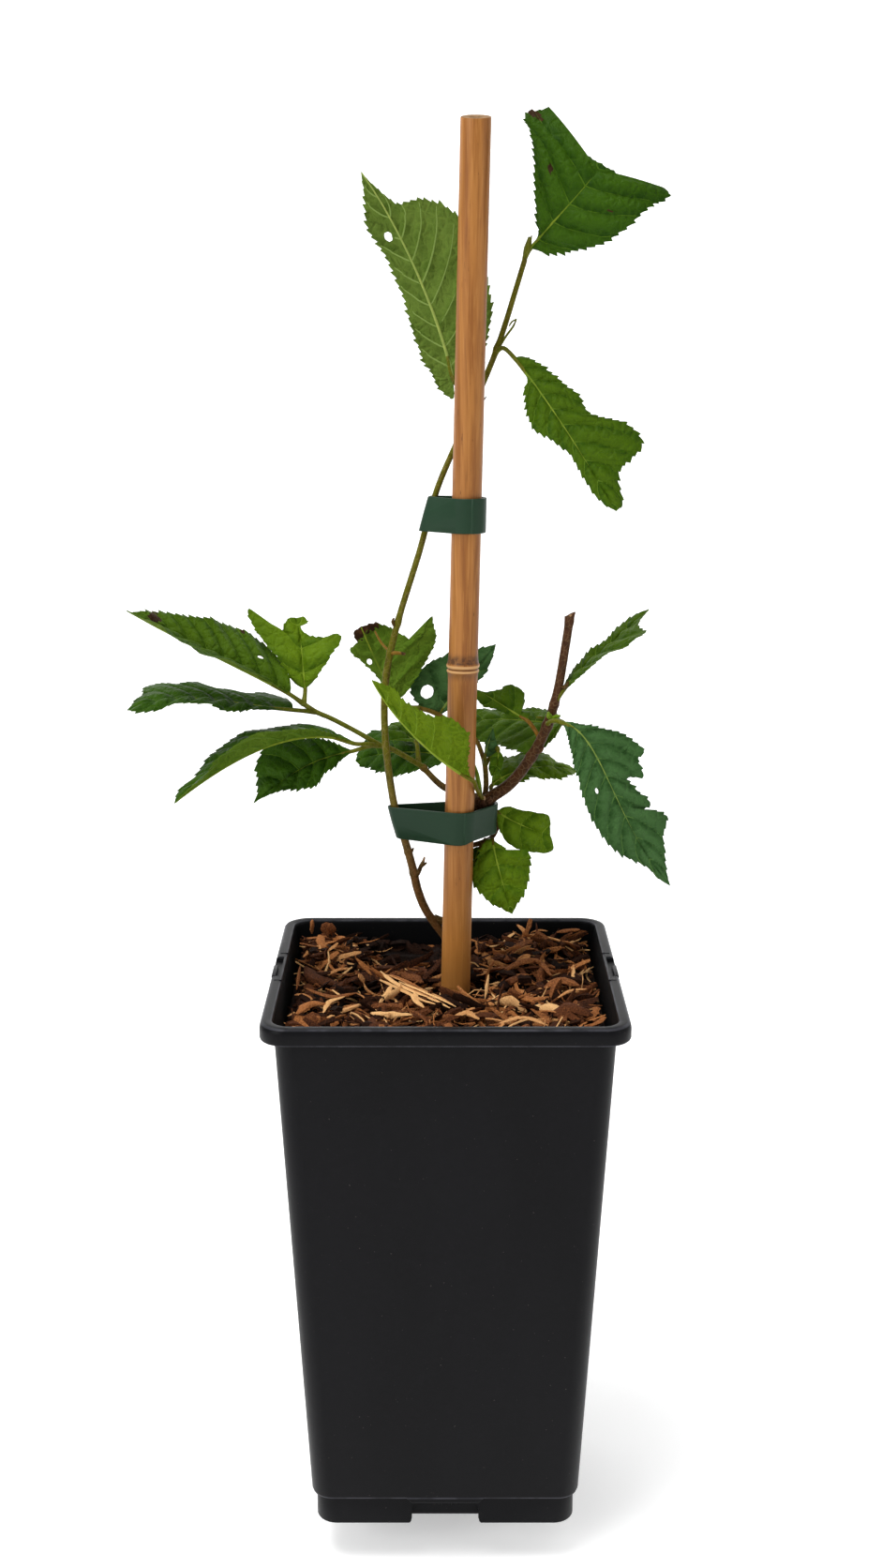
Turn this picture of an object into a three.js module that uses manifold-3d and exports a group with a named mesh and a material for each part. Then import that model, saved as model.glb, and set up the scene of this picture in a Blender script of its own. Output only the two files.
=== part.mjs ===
// A nanking cherry grown in a square nursery pot and tied to a bamboo cane.
// Millimetres, +Z up. The origin is the middle of the pot's underside, and the front looks to -Y.

import * as THREE from 'three';
import Module from 'manifold-3d';
import { mergeVertices } from 'three/addons/utils/BufferGeometryUtils.js';

const wasm = await Module();
wasm.setup();

// Running clearance between neighbouring solids.
const GAP = 0.3;
// Vertices nearer than this are one.
const WELD = 0.01;

// Pot
const RIM_WIDTH = 150;
const RIM_CORNER = 11;
const RIM_SKIRT = 7.5;
const RIM_LIP = 5.2;
const POT_HEIGHT = 235;
const BODY_TOP_WIDTH = 139;
const BODY_FOOT_WIDTH = 116;
const BODY_CORNER = 9;
const WALL = 1.6;
const FOOT_WIDTH = 112;
const FOOT_HEIGHT = 13;
const FLOOR_TOP = 14.5;
const NOTCH_FOOT_WIDTH = 32;
const NOTCH_TOP_WIDTH = 29;
const NOTCH_HEIGHT = 10.8;
const NOTCH_DEPTH = 4;
const CHANNEL_HEIGHT = 2.2;
const PAD_HALF_WIDTH = 12;
const DRAIN_RADIUS = 4;
const DRAIN_OFFSET = 30;
const DRAIN_SIDES = 12;
const CLIP_LENGTH = 34;
const CLIP_MIDDLE_Y = 3;
const CLIP_DEPTH = 2;
const CLIP_HEIGHT = 4;
const CHAMFER = 0.9;
const FLOOR_FILLET = 3;
const INNER_CORNER = BODY_CORNER - WALL;
const LIP_CORNER = RIM_CORNER - 3;
const CORNER_STEPS = 5;

// Filling
const SOIL_LEVEL = 214;
const MULCH_EDGE_Z = 222;
const MULCH_RINGS = 11;
// The bark lies in ripples, is banked up in the two back corners and sinks behind the cane.
const MULCH_BANKS = [
  { x: -50, y: 44, height: 7, spread: 22 },
  { x: 40, y: 46, height: 5, spread: 26.5 },
  { x: -14, y: 46, height: -5, spread: 18 },
];
const RIPPLE_HEIGHT = 1.6;
const RIPPLE_REACH_X = 7.3;
const RIPPLE_REACH_Y = 6.1;
const CROSS_RIPPLE_HEIGHT = 1.1;
const CROSS_RIPPLE_REACH = 4.7;

// Cane, from the pot's floor to its slanted top
const CANE_FOOT = [0.4, 11.4, 18];
const CANE_TOP = [11.7, -12, 585.5];
const CANE_FOOT_RADIUS = 6.5;
const CANE_TOP_RADIUS = 6;
const CANE_NODE_Z = 369;
const CANE_NODE_SWELL = 0.7;
const CANE_NODE_WIDTH = 2.2;
const CANE_NODE_OFFSETS = [-6, -3, -1.2, 0, 1.2, 3, 6];
const CANE_SPANS = 8;
const CANE_TOP_SLANT = 0.22;
const CANE_SIDES = 20;

// Ties
const TIE_THICKNESS = 0.8;
const TIE_DIRECTIONS = 32;
const TIE_LEVELS = 4;
const SECTION_SAMPLES = 400;
const LOWER_TIE = { foot: 292.2, head: 306.6, uprights: [{ x: 16.4, y: 9.4, radius: 3.8 }] };
const UPPER_TIE = { foot: 424.6, head: 438.8, uprights: [] };

// Leaves
const BLADE = 1;
const BLADE_STEPS = 9;
const BLADE_COLUMNS = 2;
const VEIN_SLANT = 0.008;
const PETIOLE_RADIUS = 0.95;
const RIB_TIP_RADIUS = 0.68;
const RIB_SHARES = [0, 0.2, 0.4, 0.6, 0.8, 1.015];
const RIB_SIDES = 5;

// Limbs: rows of x, y, z and radius along the middle line.
const LIMBS = {
  trunk: [
    [5, 21, 214, 7.6], [5, 20.6, 219, 5.6], [5, 20, 226, 4.7], [5.5, 18, 250, 4.4],
    [6.5, 16, 275, 4], [8.5, 14, 290, 3.7], [12.5, 12, 300, 3.7], [16, 10.2, 306, 4.2],
    [17.4, 9.6, 308.8, 3.4],
  ],
  leader: [
    [4, 20, 236.5, 2], [0.5, 19.6, 242.4, 1.9], [-8.2, 15, 256.5, 1.85], [-11.8, 12, 266.5, 1.85],
    [-14.2, 9.5, 278, 1.8], [-17, 7, 289.4, 1.7], [-21.7, 5, 306.3, 1.6], [-25.6, 3, 340, 1.5],
    [-24.8, 2, 364, 1.5], [-20, 2, 385.8, 1.35], [-10.9, 1, 415.4, 1.3], [-3.1, 1.4, 442.3, 1.25],
    [8.7, 5, 468.9, 1.2], [20.9, 6, 497.7, 1.2], [29.4, 8, 524.2, 1.1], [32, 9, 532.7, 1.1],
  ],
  pruned_branch: [
    [16, 9.8, 306.5, 2.7], [20, 9.5, 309.5, 2.7], [28.2, 9, 315.7, 2.5], [36.5, 8, 327, 2.3],
    [42.7, 6, 339.8, 2.2], [47.2, 5, 355.4, 1.9], [50.4, 4, 375.6, 1.85], [52.1, 3, 388.6, 1.8],
  ],
  left_branch: [
    [15, 11.4, 308.4, 1.7], [9, 16, 309, 1.7], [3, 18.6, 310, 1.6], [-1.8, 18.8, 312.4, 1.4],
    [-10.2, 17.2, 321.4, 1.2],
  ],
};

// Leaves: the rib at 0, 1/3, 2/3 and 1 of its length, the way the upper side faces, and how far each half
// is folded up. A half's edge is given as pairs: share of the rib's length, distance from the rib.
const LEAVES = {
  left_top: {
    rib: [[-65, -4, 357], [-86, -8, 369], [-108, -12, 381], [-130, -16, 394]],
    facing: [0, -0.65, 0.76], fold: [54, 0],
    left: [[0.15, 8], [0.4, 14], [0.7, 10]],
    right: [[0.1, 11], [0.24, 18], [0.38, 20], [0.54, 17], [0.68, 12], [0.86, 7], [0.96, 1]],
  },
  left_middle: {
    rib: [[-64, -2, 350], [-87, -8, 354], [-108, -14, 357], [-131, -18, 353]],
    facing: [0, -0.2, 1], fold: [0, 0],
    left: [[0.22, 5], [0.44, 10], [0.64, 8], [0.88, 9]],
    right: [[0.06, 15], [0.24, 21], [0.54, 18], [0.84, 21], [0.93, 10]],
  },
  left_upright: {
    rib: [[-59, 2, 358], [-60, 4, 368], [-61, 7, 378], [-63, 10, 387]],
    facing: [0.1, -1, 0.2], fold: [10, 10],
    left: [[0.4, 7], [0.74, 14], [1.08, 19], [1.24, 18], [1.1, 15], [0.86, 10], [0.9, 5]],
    right: [[0.1, 4], [0.4, 12], [0.58, 17], [0.68, 10], [0.74, 6], [0.84, 3]],
  },
  left_arched: {
    rib: [[-38, 0, 335], [-62, -8, 339], [-87, -16, 331], [-112, -24, 315]],
    facing: [-0.2, -0.35, 0.9], fold: [55, 0],
    left: [[0.16, 4], [0.34, 11], [0.5, 14], [0.66, 13], [0.8, 9], [0.9, 3]],
    right: [[0.12, 6], [0.24, 12], [0.42, 15], [0.6, 16], [0.76, 13], [0.94, 5]],
  },
  left_low: {
    rib: [[-39, 4, 331], [-52, 6, 327], [-65, 9, 320], [-83, 12, 306]],
    facing: [-0.3, -0.8, 0.55], fold: [10, 10],
    left: [[0.18, 5], [0.3, 7], [0.46, 10], [0.64, 9], [0.88, 2]],
    right: [[0.14, 4], [0.42, 11], [0.7, 16], [0.8, 15], [0.9, 8]],
  },
  left_small: {
    rib: [[-12.5, 21, 331], [-16, 27, 332], [-20, 33, 334], [-24, 38, 336]],
    facing: [0, -0.3, 1], fold: [15, 15],
    left: [[0.3, 7], [0.6, 8]],
    right: [[0.3, 7], [0.6, 8]],
  },
  back: {
    rib: [[0, 26, 324], [-14, 32, 324], [-27, 38, 322], [-40, 42, 318]],
    facing: [0, -0.6, 0.8], fold: [0, 0],
    left: [[0.06, 8], [0.36, 12], [0.68, 10], [0.92, 4]],
    right: [[0.26, 8], [0.54, 13], [0.8, 13], [0.92, 8]],
  },
  middle_curled: {
    rib: [[-20, 17, 351], [-26, 18, 360], [-31, 19, 370], [-36, 19, 382]],
    facing: [-0.2, 1, 0.1], fold: [0, 0],
    left: [[0, 4], [0.12, 13], [0.24, 19], [0.44, 26], [0.76, 28], [0.7, 19], [0.94, 8]],
    right: [[0.28, 2], [0.48, 2], [0.78, 8], [0.96, 4]],
  },
  middle_holed: {
    rib: [[-3, 22, 342], [4, 24, 352], [13, 26, 362], [22, 28, 373]],
    facing: [0.1, -1, 0.1], fold: [0, 0],
    left: [[0, 5], [0.08, 15], [0.24, 18], [0.5, 15], [0.66, 11], [0.84, 5]],
    right: [[0.22, 3], [0.56, 4], [0.72, 4], [0.88, 2]],
  },
  shoot_pointed: {
    rib: [[17, 8, 327], [18, 7.6, 332], [19.2, 7.6, 336], [20.4, 8, 340.4]],
    facing: [0, -1, 0.1], fold: [0, 0],
    left: [[0.3, 1], [0.6, 1]],
    right: [[0.25, 5.5], [0.6, 3]],
  },
  shoot_curled: {
    rib: [[22.6, 6, 331], [22.4, 5, 327], [21.2, 4, 323], [19.6, 4, 320]],
    facing: [0, -1, 0.1], fold: [20, 20],
    left: [[0.3, 2.6], [0.7, 2.4]],
    right: [[0.3, 3.4], [0.7, 3]],
  },
  front: {
    rib: [[12, -10, 321], [-4, -14, 333], [-19, -18, 349], [-30, -20, 364]],
    facing: [0.4, 0.85, 0.35], fold: [0, 110],
    left: [[0.18, 9], [0.28, 17], [0.36, 21], [0.46, 21], [0.58, 16], [0.82, 10], [0.94, 5]],
    right: [[0.3, 5], [0.6, 5], [0.85, 3]],
  },
  inner: {
    rib: [[35, 10, 343], [26, 12, 348], [18, 13, 353], [12, 14, 356]],
    facing: [0, -0.8, 0.6], fold: [0, 0],
    left: [[0.22, 2], [0.44, 3], [0.64, 5], [0.84, 3]],
    right: [[0.04, 4], [0.18, 8], [0.28, 11], [0.48, 9], [0.62, 5], [0.8, 1]],
  },
  right_back: {
    rib: [[51, 18, 340], [37, 27, 339], [22, 36, 338], [5, 44, 334]],
    facing: [0, -0.5, 0.85], fold: [0, 0],
    left: [[0.06, 10], [0.18, 18], [0.44, 18], [0.62, 15], [0.86, 9]],
    right: [[0.16, 7], [0.4, 8], [0.7, 8], [0.88, 5]],
  },
  right_low_back: {
    rib: [[20, 15, 313], [32, 22, 318], [45, 30, 318], [59, 38, 314]],
    facing: [0, -0.5, 0.87], fold: [0, 0],
    left: [[0.14, 6], [0.32, 11], [0.5, 10], [0.7, 8], [0.9, 4]],
    right: [[0.16, 5], [0.4, 7], [0.66, 7], [0.86, 5]],
  },
  right_top: {
    rib: [[49, 4, 356], [60, 9, 367], [73, 15, 377], [87, 22, 389]],
    facing: [-0.3, -0.3, 0.9], fold: [20, 20],
    left: [[0.08, 2], [0.26, 5], [0.5, 6], [0.7, 5], [0.9, 4]],
    right: [[0.14, 3], [0.36, 6], [0.54, 9], [0.78, 14]],
  },
  right_front: {
    rib: [[48, -8, 346], [62, -14, 334], [75, -18, 308], [95, -16, 277]],
    facing: [0.1, -0.95, 0.3], fold: [0, 0],
    left: [[0.14, 3], [0.3, 13], [0.44, 19], [0.54, 14], [0.6, 10], [0.68, 9], [0.76, 16], [0.84, 9]],
    right: [[0.18, 6], [0.38, 10], [0.6, 13], [0.76, 10], [0.88, 3]],
  },
  low_cut: {
    rib: [[22.4, 15, 301.6], [28, 15.5, 298], [36, 16, 294], [46, 17, 290]],
    facing: [0.1, -0.95, 0.3], fold: [0, 0],
    left: [[0.14, 4], [0.64, 7], [0.92, 8]],
    right: [[0.36, 8], [0.7, 10], [1.06, 7]],
  },
  low_hanging: {
    rib: [[20.4, 9, 290.6], [22, 6, 283], [25, 3.4, 272], [29, 2, 259]],
    facing: [0.1, -1, 0.15], fold: [0, 0],
    left: [[0.3, 8], [0.4, 13], [0.58, 13], [0.74, 10], [0.9, 4]],
    right: [[0.08, 3], [0.3, 8], [0.48, 12], [0.7, 10], [0.92, 3]],
  },
  low_dark: {
    rib: [[15.6, 14, 286], [14, 15, 283], [13, 16, 279], [12, 16.4, 274]],
    facing: [0.1, -1, 0.15], fold: [0, 0],
    left: [[0.3, 3], [0.6, 2.5]],
    right: [[0.3, 3], [0.6, 2.5]],
  },
  tip: {
    rib: [[34.3, 9, 537], [43, 0, 547], [53, -6, 558], [61.5, -4, 568.5]],
    facing: [0.1, -0.95, 0.3], fold: [0, 0],
    left: [[0.16, 2], [0.4, 13], [0.67, 24], [1.05, 36], [1.18, 31], [1.12, 23], [1.06, 13]],
    right: [[0.22, 12], [0.38, 17], [0.65, 23], [1.02, 27], [1.26, 27], [1.12, 16], [1.04, 7]],
  },
  top_right: {
    rib: [[28, 0, 494], [40, -7, 478], [53, -12, 459], [69, -14, 434]],
    facing: [0.1, -0.95, 0.3], fold: [0, 0],
    left: [[0.12, 6], [0.32, 10], [0.42, 12], [0.56, 14], [0.68, 22], [0.82, 23], [0.88, 10]],
    right: [[0.16, 2], [0.24, 6], [0.42, 10], [0.54, 8], [0.68, 4], [0.86, 4]],
  },
  top_left: {
    rib: [[3, 9, 486], [-5, 13, 512], [-18, 15, 541], [-34, 13, 567]],
    facing: [0.2, 0.95, 0.1], fold: [0, 0],
    left: [[0.04, 9], [0.14, 18], [0.24, 23], [0.4, 26], [0.54, 26], [0.68, 22], [0.78, 13], [0.86, 4]],
    right: [[0.02, 8], [0.16, 11], [0.36, 10], [0.56, 9], [0.74, 9], [0.86, 7]],
  },
};

// Masses of foliage: their own twigs, and each leaf with the points its stalk passes before its rib.
const MASSES = {
  left_spray: {
    on: ['left_branch', 'leader'],
    twigs: [[[-9.6, 17.3, 321, 1.15], [-23.7, 11, 330.6, 1.1], [-27, 9, 332, 1.1], [-37.8, 5, 339.2, 1.05],
      [-48.3, 2, 345.5, 1.05], [-54.5, 0, 348.7, 1], [-59.8, -2, 352.7, 1]]],
    leaves: {
      left_top: [[-59.4, -2, 352.4]],
      left_middle: [[-54.5, 0, 348.7]],
      left_upright: [[-59.4, -1.8, 352.4]],
      left_arched: [[-28, 8.6, 332.4], [-33, 4, 334]],
      left_low: [[-28, 8.6, 332.4], [-33, 6, 332.4]],
      left_small: [[-11.4, 17.3, 322]],
    },
  },
  back_leaf: {
    on: ['left_branch'],
    twigs: [],
    leaves: { back: [[2, 19.4, 310.6], [5, 23, 315], [3.4, 26, 321]] },
  },
  middle_spray: {
    on: ['trunk', 'pruned_branch'],
    twigs: [[[16.6, 11.5, 306.5, 1.3], [17.6, 11.6, 313, 1.2], [17, 12, 323.5, 1.1], [15.7, 13, 328, 1],
      [12.9, 15.5, 333.6, 1], [4, 20, 339, 1], [-4, 20, 344, 1], [-12, 18, 347, 0.95]]],
    leaves: {
      middle_curled: [[-11, 18.2, 346.6], [-16, 17.6, 347.6]],
      middle_holed: [[4.5, 19.8, 338.8], [-1, 21, 338.6]],
      shoot_pointed: [[17, 12, 324], [17, 10, 325]],
      shoot_curled: [[17, 12, 323], [20, 9.5, 328], [22.2, 7.5, 331.6]],
    },
  },
  front_leaf: {
    on: ['trunk', 'pruned_branch'],
    twigs: [],
    leaves: { front: [[16.4, 8, 308.6], [14.6, 0, 313], [13, -6, 317.4]] },
  },
  inner_leaf: {
    on: ['pruned_branch'],
    twigs: [],
    leaves: { inner: [[40.5, 7, 335.4], [38, 9, 339.4]] },
  },
  right_back_leaf: {
    on: ['pruned_branch'],
    twigs: [],
    leaves: { right_back: [[44, 6, 342.6], [48.6, 11, 342.6]] },
  },
  right_low_back_leaf: {
    on: ['trunk', 'pruned_branch'],
    twigs: [],
    leaves: { right_low_back: [[20.5, 10.6, 310], [20, 13, 311.5]] },
  },
  right_top_leaf: {
    on: ['pruned_branch'],
    twigs: [],
    leaves: { right_top: [[46, 5, 350.4]] },
  },
  right_front_leaf: {
    on: ['pruned_branch'],
    twigs: [],
    leaves: { right_front: [[43.5, 5, 342.5], [44, -1, 344.6], [46, -5.4, 346]] },
  },
  low_spray: {
    on: ['trunk'],
    twigs: [[[9, 14, 286, 1.2], [15, 14.6, 287.4, 1.15], [20.5, 15.5, 290, 1.05], [23.4, 15.4, 296, 1]]],
    leaves: {
      low_cut: [[23, 15.4, 295.4]],
      low_hanging: [[17.5, 15, 288.6], [19.6, 12, 289.6]],
      low_dark: [[16, 14.7, 287.8]],
    },
  },
  tip_leaf: {
    on: ['leader'],
    twigs: [[[31.8, 9, 532.2, 1], [32.8, 9.2, 537, 1.2], [33.8, 9.2, 541.6, 0.7]]],
    leaves: { tip: [[32.4, 9, 534.6]] },
  },
  top_right_leaf: {
    on: ['leader'],
    twigs: [],
    leaves: { top_right: [[20.5, 6, 496.6], [23.4, 3.2, 498]] },
  },
  top_left_leaf: {
    on: ['leader'],
    twigs: [],
    leaves: { top_left: [[12.4, 5.4, 477.6], [7, 7.2, 480.4]] },
  },
};

// Finishes
const FINISH = {
  pot: { color: 0x26262a, roughness: 0.45 },
  compost: { color: 0x2b1c12, roughness: 1 },
  bark_mulch: { color: 0x5c3a22, roughness: 0.95 },
  cane: { color: 0xb07a42, roughness: 0.5 },
  tie: { color: 0x2b4c3c, roughness: 0.5 },
  bark: { color: 0x50362a, roughness: 0.85 },
  green_stem: { color: 0x66701c, roughness: 0.7 },
  leaf: { color: 0x38641c, roughness: 0.55 },
};

function toSolid(geometry, weld = 1e-4) {
  const plain = geometry.clone();
  plain.deleteAttribute('normal');
  plain.deleteAttribute('uv');
  const merged = mergeVertices(plain, weld);
  const place = merged.attributes.position;
  const corners = [new THREE.Vector3(), new THREE.Vector3(), new THREE.Vector3()];
  const faces = [];
  let volume = 0;
  for (let i = 0; i < merged.index.count; i += 3) {
    const face = [0, 1, 2].map((k) => merged.index.getX(i + k));
    if (new Set(face).size < 3) continue;
    faces.push(face);
    face.forEach((vertex, k) => corners[k].fromBufferAttribute(place, vertex));
    volume += corners[0].dot(corners[1].cross(corners[2]));
  }
  const outward = volume < 0 ? faces.map(([a, b, c]) => [a, c, b]) : faces;
  return new wasm.Manifold(new wasm.Mesh({
    numProp: 3,
    vertProperties: new Float32Array(place.array),
    triVerts: new Uint32Array(outward.flat()),
  }));
}

function toGeometry(solid) {
  const mesh = solid.getMesh();
  const geometry = new THREE.BufferGeometry();
  geometry.setAttribute('position', new THREE.BufferAttribute(mesh.vertProperties, 3));
  geometry.setIndex(new THREE.BufferAttribute(mesh.triVerts, 1));
  geometry.computeVertexNormals();
  return geometry;
}

function join(solids) {
  return solids.reduce((whole, piece) => whole.add(piece));
}

function cut(solid, cutters) {
  return cutters.reduce((rest, cutter) => rest.subtract(cutter), solid);
}

// The outer skin alone, with any pocket that joining sealed filled in, loose scraps dropped and
// the shortest edges welded shut.
function filled(solid) {
  const shells = solid.decompose().sort((a, b) => b.volume() - a.volume());
  return toSolid(toGeometry(shells[0]), WELD);
}

// A closed skin over a stack of rings with equal numbers of points, fanned shut at both ends.
function skin(rings) {
  const count = rings[0].length;
  const points = rings.flat();
  const faces = [];
  for (let k = 0; k < rings.length - 1; k += 1) {
    for (let i = 0; i < count; i += 1) {
      const a = k * count + i;
      const b = k * count + ((i + 1) % count);
      faces.push(a, b, b + count, a, b + count, a + count);
    }
  }
  [0, rings.length - 1].forEach((k) => {
    const middle = rings[k].reduce((sum, p) => sum.add(p), new THREE.Vector3()).divideScalar(count);
    points.push(middle);
    for (let i = 0; i < count; i += 1) {
      const pair = [k * count + i, k * count + ((i + 1) % count)];
      if (k === 0) pair.reverse();
      faces.push(points.length - 1, ...pair);
    }
  });
  const geometry = new THREE.BufferGeometry().setFromPoints(points);
  geometry.setIndex(faces);
  return geometry;
}

function roundedSquare(width, radius, z, share = 1) {
  const ring = [];
  const flat = width / 2 - radius;
  for (let quarter = 0; quarter < 4; quarter += 1) {
    const start = (quarter * Math.PI) / 2;
    const middleX = flat * Math.sign(Math.cos(start + Math.PI / 4));
    const middleY = flat * Math.sign(Math.sin(start + Math.PI / 4));
    for (let k = 0; k <= CORNER_STEPS; k += 1) {
      const angle = start + ((Math.PI / 2) * k) / CORNER_STEPS;
      ring.push(new THREE.Vector3(
        (middleX + radius * Math.cos(angle)) * share,
        (middleY + radius * Math.sin(angle)) * share,
        z,
      ));
    }
  }
  return ring;
}

function box(x, y, z, sizeX, sizeY, sizeZ) {
  return toSolid(new THREE.BoxGeometry(sizeX, sizeY, sizeZ).translate(x, y, z));
}

// Pot: the outer wall up to the rim, over the lip, and down the inside to the floor.
function innerWidthAt(z) {
  const rise = (z - FOOT_HEIGHT) / (POT_HEIGHT - RIM_SKIRT - FOOT_HEIGHT);
  return BODY_FOOT_WIDTH + (BODY_TOP_WIDTH - BODY_FOOT_WIDTH) * Math.min(rise, 1) - 2 * WALL;
}

function potShell() {
  const skirtFoot = POT_HEIGHT - RIM_SKIRT;
  const lipInner = RIM_WIDTH - 2 * RIM_LIP;
  return toSolid(skin([
    roundedSquare(FOOT_WIDTH - 2 * CHAMFER, BODY_CORNER - CHAMFER, 0),
    roundedSquare(FOOT_WIDTH, BODY_CORNER, CHAMFER),
    roundedSquare(FOOT_WIDTH, BODY_CORNER, FOOT_HEIGHT - CHAMFER),
    roundedSquare(BODY_FOOT_WIDTH - 2 * CHAMFER, BODY_CORNER, FOOT_HEIGHT),
    roundedSquare(BODY_FOOT_WIDTH, BODY_CORNER, FOOT_HEIGHT + 2 * CHAMFER),
    roundedSquare(BODY_TOP_WIDTH, BODY_CORNER, skirtFoot),
    roundedSquare(RIM_WIDTH - 2 * CHAMFER, RIM_CORNER, skirtFoot),
    roundedSquare(RIM_WIDTH, RIM_CORNER, skirtFoot + CHAMFER),
    roundedSquare(RIM_WIDTH, RIM_CORNER, POT_HEIGHT - CHAMFER),
    roundedSquare(RIM_WIDTH - 2 * CHAMFER, RIM_CORNER, POT_HEIGHT),
    roundedSquare(lipInner + CHAMFER, LIP_CORNER, POT_HEIGHT),
    roundedSquare(lipInner, LIP_CORNER, POT_HEIGHT - CHAMFER),
    roundedSquare(innerWidthAt(skirtFoot), INNER_CORNER, skirtFoot - WALL),
    roundedSquare(innerWidthAt(FLOOR_TOP + FLOOR_FILLET), INNER_CORNER, FLOOR_TOP + FLOOR_FILLET),
    roundedSquare(innerWidthAt(FLOOR_TOP) - 2 * FLOOR_FILLET, INNER_CORNER, FLOOR_TOP),
  ]));
}

// A water notch through one side of the foot, and the shallower channel that runs on from it.
function notch(turn) {
  const shape = new THREE.Shape([
    new THREE.Vector2(-NOTCH_FOOT_WIDTH / 2, -1),
    new THREE.Vector2(NOTCH_FOOT_WIDTH / 2, -1),
    new THREE.Vector2(NOTCH_TOP_WIDTH / 2, NOTCH_HEIGHT),
    new THREE.Vector2(-NOTCH_TOP_WIDTH / 2, NOTCH_HEIGHT),
  ]);
  const mouth = new THREE.ExtrudeGeometry(shape, { depth: NOTCH_DEPTH + 1, bevelEnabled: false });
  mouth.rotateX(Math.PI / 2).translate(0, -FOOT_WIDTH / 2 + NOTCH_DEPTH, 0);
  const length = FOOT_WIDTH / 2 - PAD_HALF_WIDTH;
  const channel = new THREE.BoxGeometry(NOTCH_TOP_WIDTH, length, 2 * CHANNEL_HEIGHT);
  channel.translate(0, -PAD_HALF_WIDTH - length / 2, 0);
  return [mouth, channel].map((geometry) => toSolid(geometry.rotateZ(turn)));
}

function drain(turn) {
  const hole = new THREE.CylinderGeometry(DRAIN_RADIUS, DRAIN_RADIUS, 3 * FLOOR_TOP, DRAIN_SIDES);
  return toSolid(hole.rotateX(Math.PI / 2).translate(0, -DRAIN_OFFSET, 0).rotateZ(turn));
}

function makePot() {
  const turns = [0, 1, 2, 3].map((k) => (k * Math.PI) / 2);
  const clips = [-1, 1].map((side) => box(
    side * (RIM_WIDTH / 2), CLIP_MIDDLE_Y, POT_HEIGHT - CLIP_HEIGHT / 2 + 0.5,
    2 * CLIP_DEPTH, CLIP_LENGTH, CLIP_HEIGHT + 1,
  ));
  return cut(potShell(), [...turns.flatMap(notch), ...turns.map(drain), ...clips]);
}

// Limbs
function pathOf(rows) {
  const points = rows.map(([x, y, z]) => new THREE.Vector3(x, y, z));
  return new THREE.CatmullRomCurve3(points, false, 'centripetal');
}

function radiusAt(rows, share) {
  const row = Math.min(Math.floor(share * (rows.length - 1)), rows.length - 2);
  const part = share * (rows.length - 1) - row;
  return THREE.MathUtils.lerp(rows[row][3], rows[row + 1][3], part);
}

// A tapering limb through rows of x, y, z, radius. grow thickens it and lengthens both ends.
function limb(rows, { sides = 8, perSpan = 2, grow = 0, levelFoot = false } = {}) {
  const curve = pathOf(rows);
  const steps = (rows.length - 1) * perSpan;
  const rings = [];
  for (let k = 0; k <= steps; k += 1) {
    const share = k / steps;
    const radius = radiusAt(rows, share) + grow;
    const along = curve.getTangent(share);
    const middle = curve.getPoint(share);
    if (k === 0) middle.addScaledVector(along, -grow);
    if (k === steps) middle.addScaledVector(along, grow);
    const back = new THREE.Vector3(0, 1, 0).addScaledVector(along, -along.y);
    if (Math.abs(along.y) > 0.9) back.set(1, 0, 0).addScaledVector(along, -along.x);
    back.normalize();
    const across = new THREE.Vector3().crossVectors(along, back);
    const ring = [];
    for (let i = 0; i < sides; i += 1) {
      const angle = (2 * Math.PI * i) / sides;
      const point = middle.clone();
      point.addScaledVector(back, radius * Math.cos(angle));
      point.addScaledVector(across, radius * Math.sin(angle));
      if (levelFoot && k === 0) point.z = middle.z;
      ring.push(point);
    }
    rings.push(ring);
  }
  return toSolid(skin(rings));
}

function grownLimb(name) {
  return limb(LIMBS[name], { grow: GAP, levelFoot: name === 'trunk' });
}

// Cane
function caneAt(z) {
  const share = (z - CANE_FOOT[2]) / (CANE_TOP[2] - CANE_FOOT[2]);
  const swell = CANE_NODE_SWELL * Math.exp(-(((z - CANE_NODE_Z) / CANE_NODE_WIDTH) ** 2));
  return {
    x: THREE.MathUtils.lerp(CANE_FOOT[0], CANE_TOP[0], share),
    y: THREE.MathUtils.lerp(CANE_FOOT[1], CANE_TOP[1], share),
    radius: THREE.MathUtils.lerp(CANE_FOOT_RADIUS, CANE_TOP_RADIUS, share) + swell,
  };
}

function caneSolid(grow = 0) {
  const nodeLevels = CANE_NODE_OFFSETS.map((offset) => CANE_NODE_Z + offset);
  const evenLevels = Array.from({ length: CANE_SPANS + 1 }, (_, k) => (
    THREE.MathUtils.lerp(CANE_FOOT[2], CANE_TOP[2], k / CANE_SPANS)
  ));
  const clear = evenLevels.filter((z) => z < nodeLevels[0] || z > nodeLevels[nodeLevels.length - 1]);
  const levels = [...clear, ...nodeLevels].sort((a, b) => a - b);
  return toSolid(skin(levels.map((z, k) => {
    const { x, y, radius } = caneAt(z);
    const end = (k === 0 ? -1 : 0) + (k === levels.length - 1 ? 1 : 0);
    return Array.from({ length: CANE_SIDES }, (_, i) => {
      const angle = (2 * Math.PI * i) / CANE_SIDES;
      const out = radius + grow;
      const slant = end > 0 ? CANE_TOP_SLANT * radius * Math.sin(angle) : 0;
      return new THREE.Vector3(x + out * Math.cos(angle), y + out * Math.sin(angle), z + slant + end * grow);
    });
  })));
}

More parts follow.
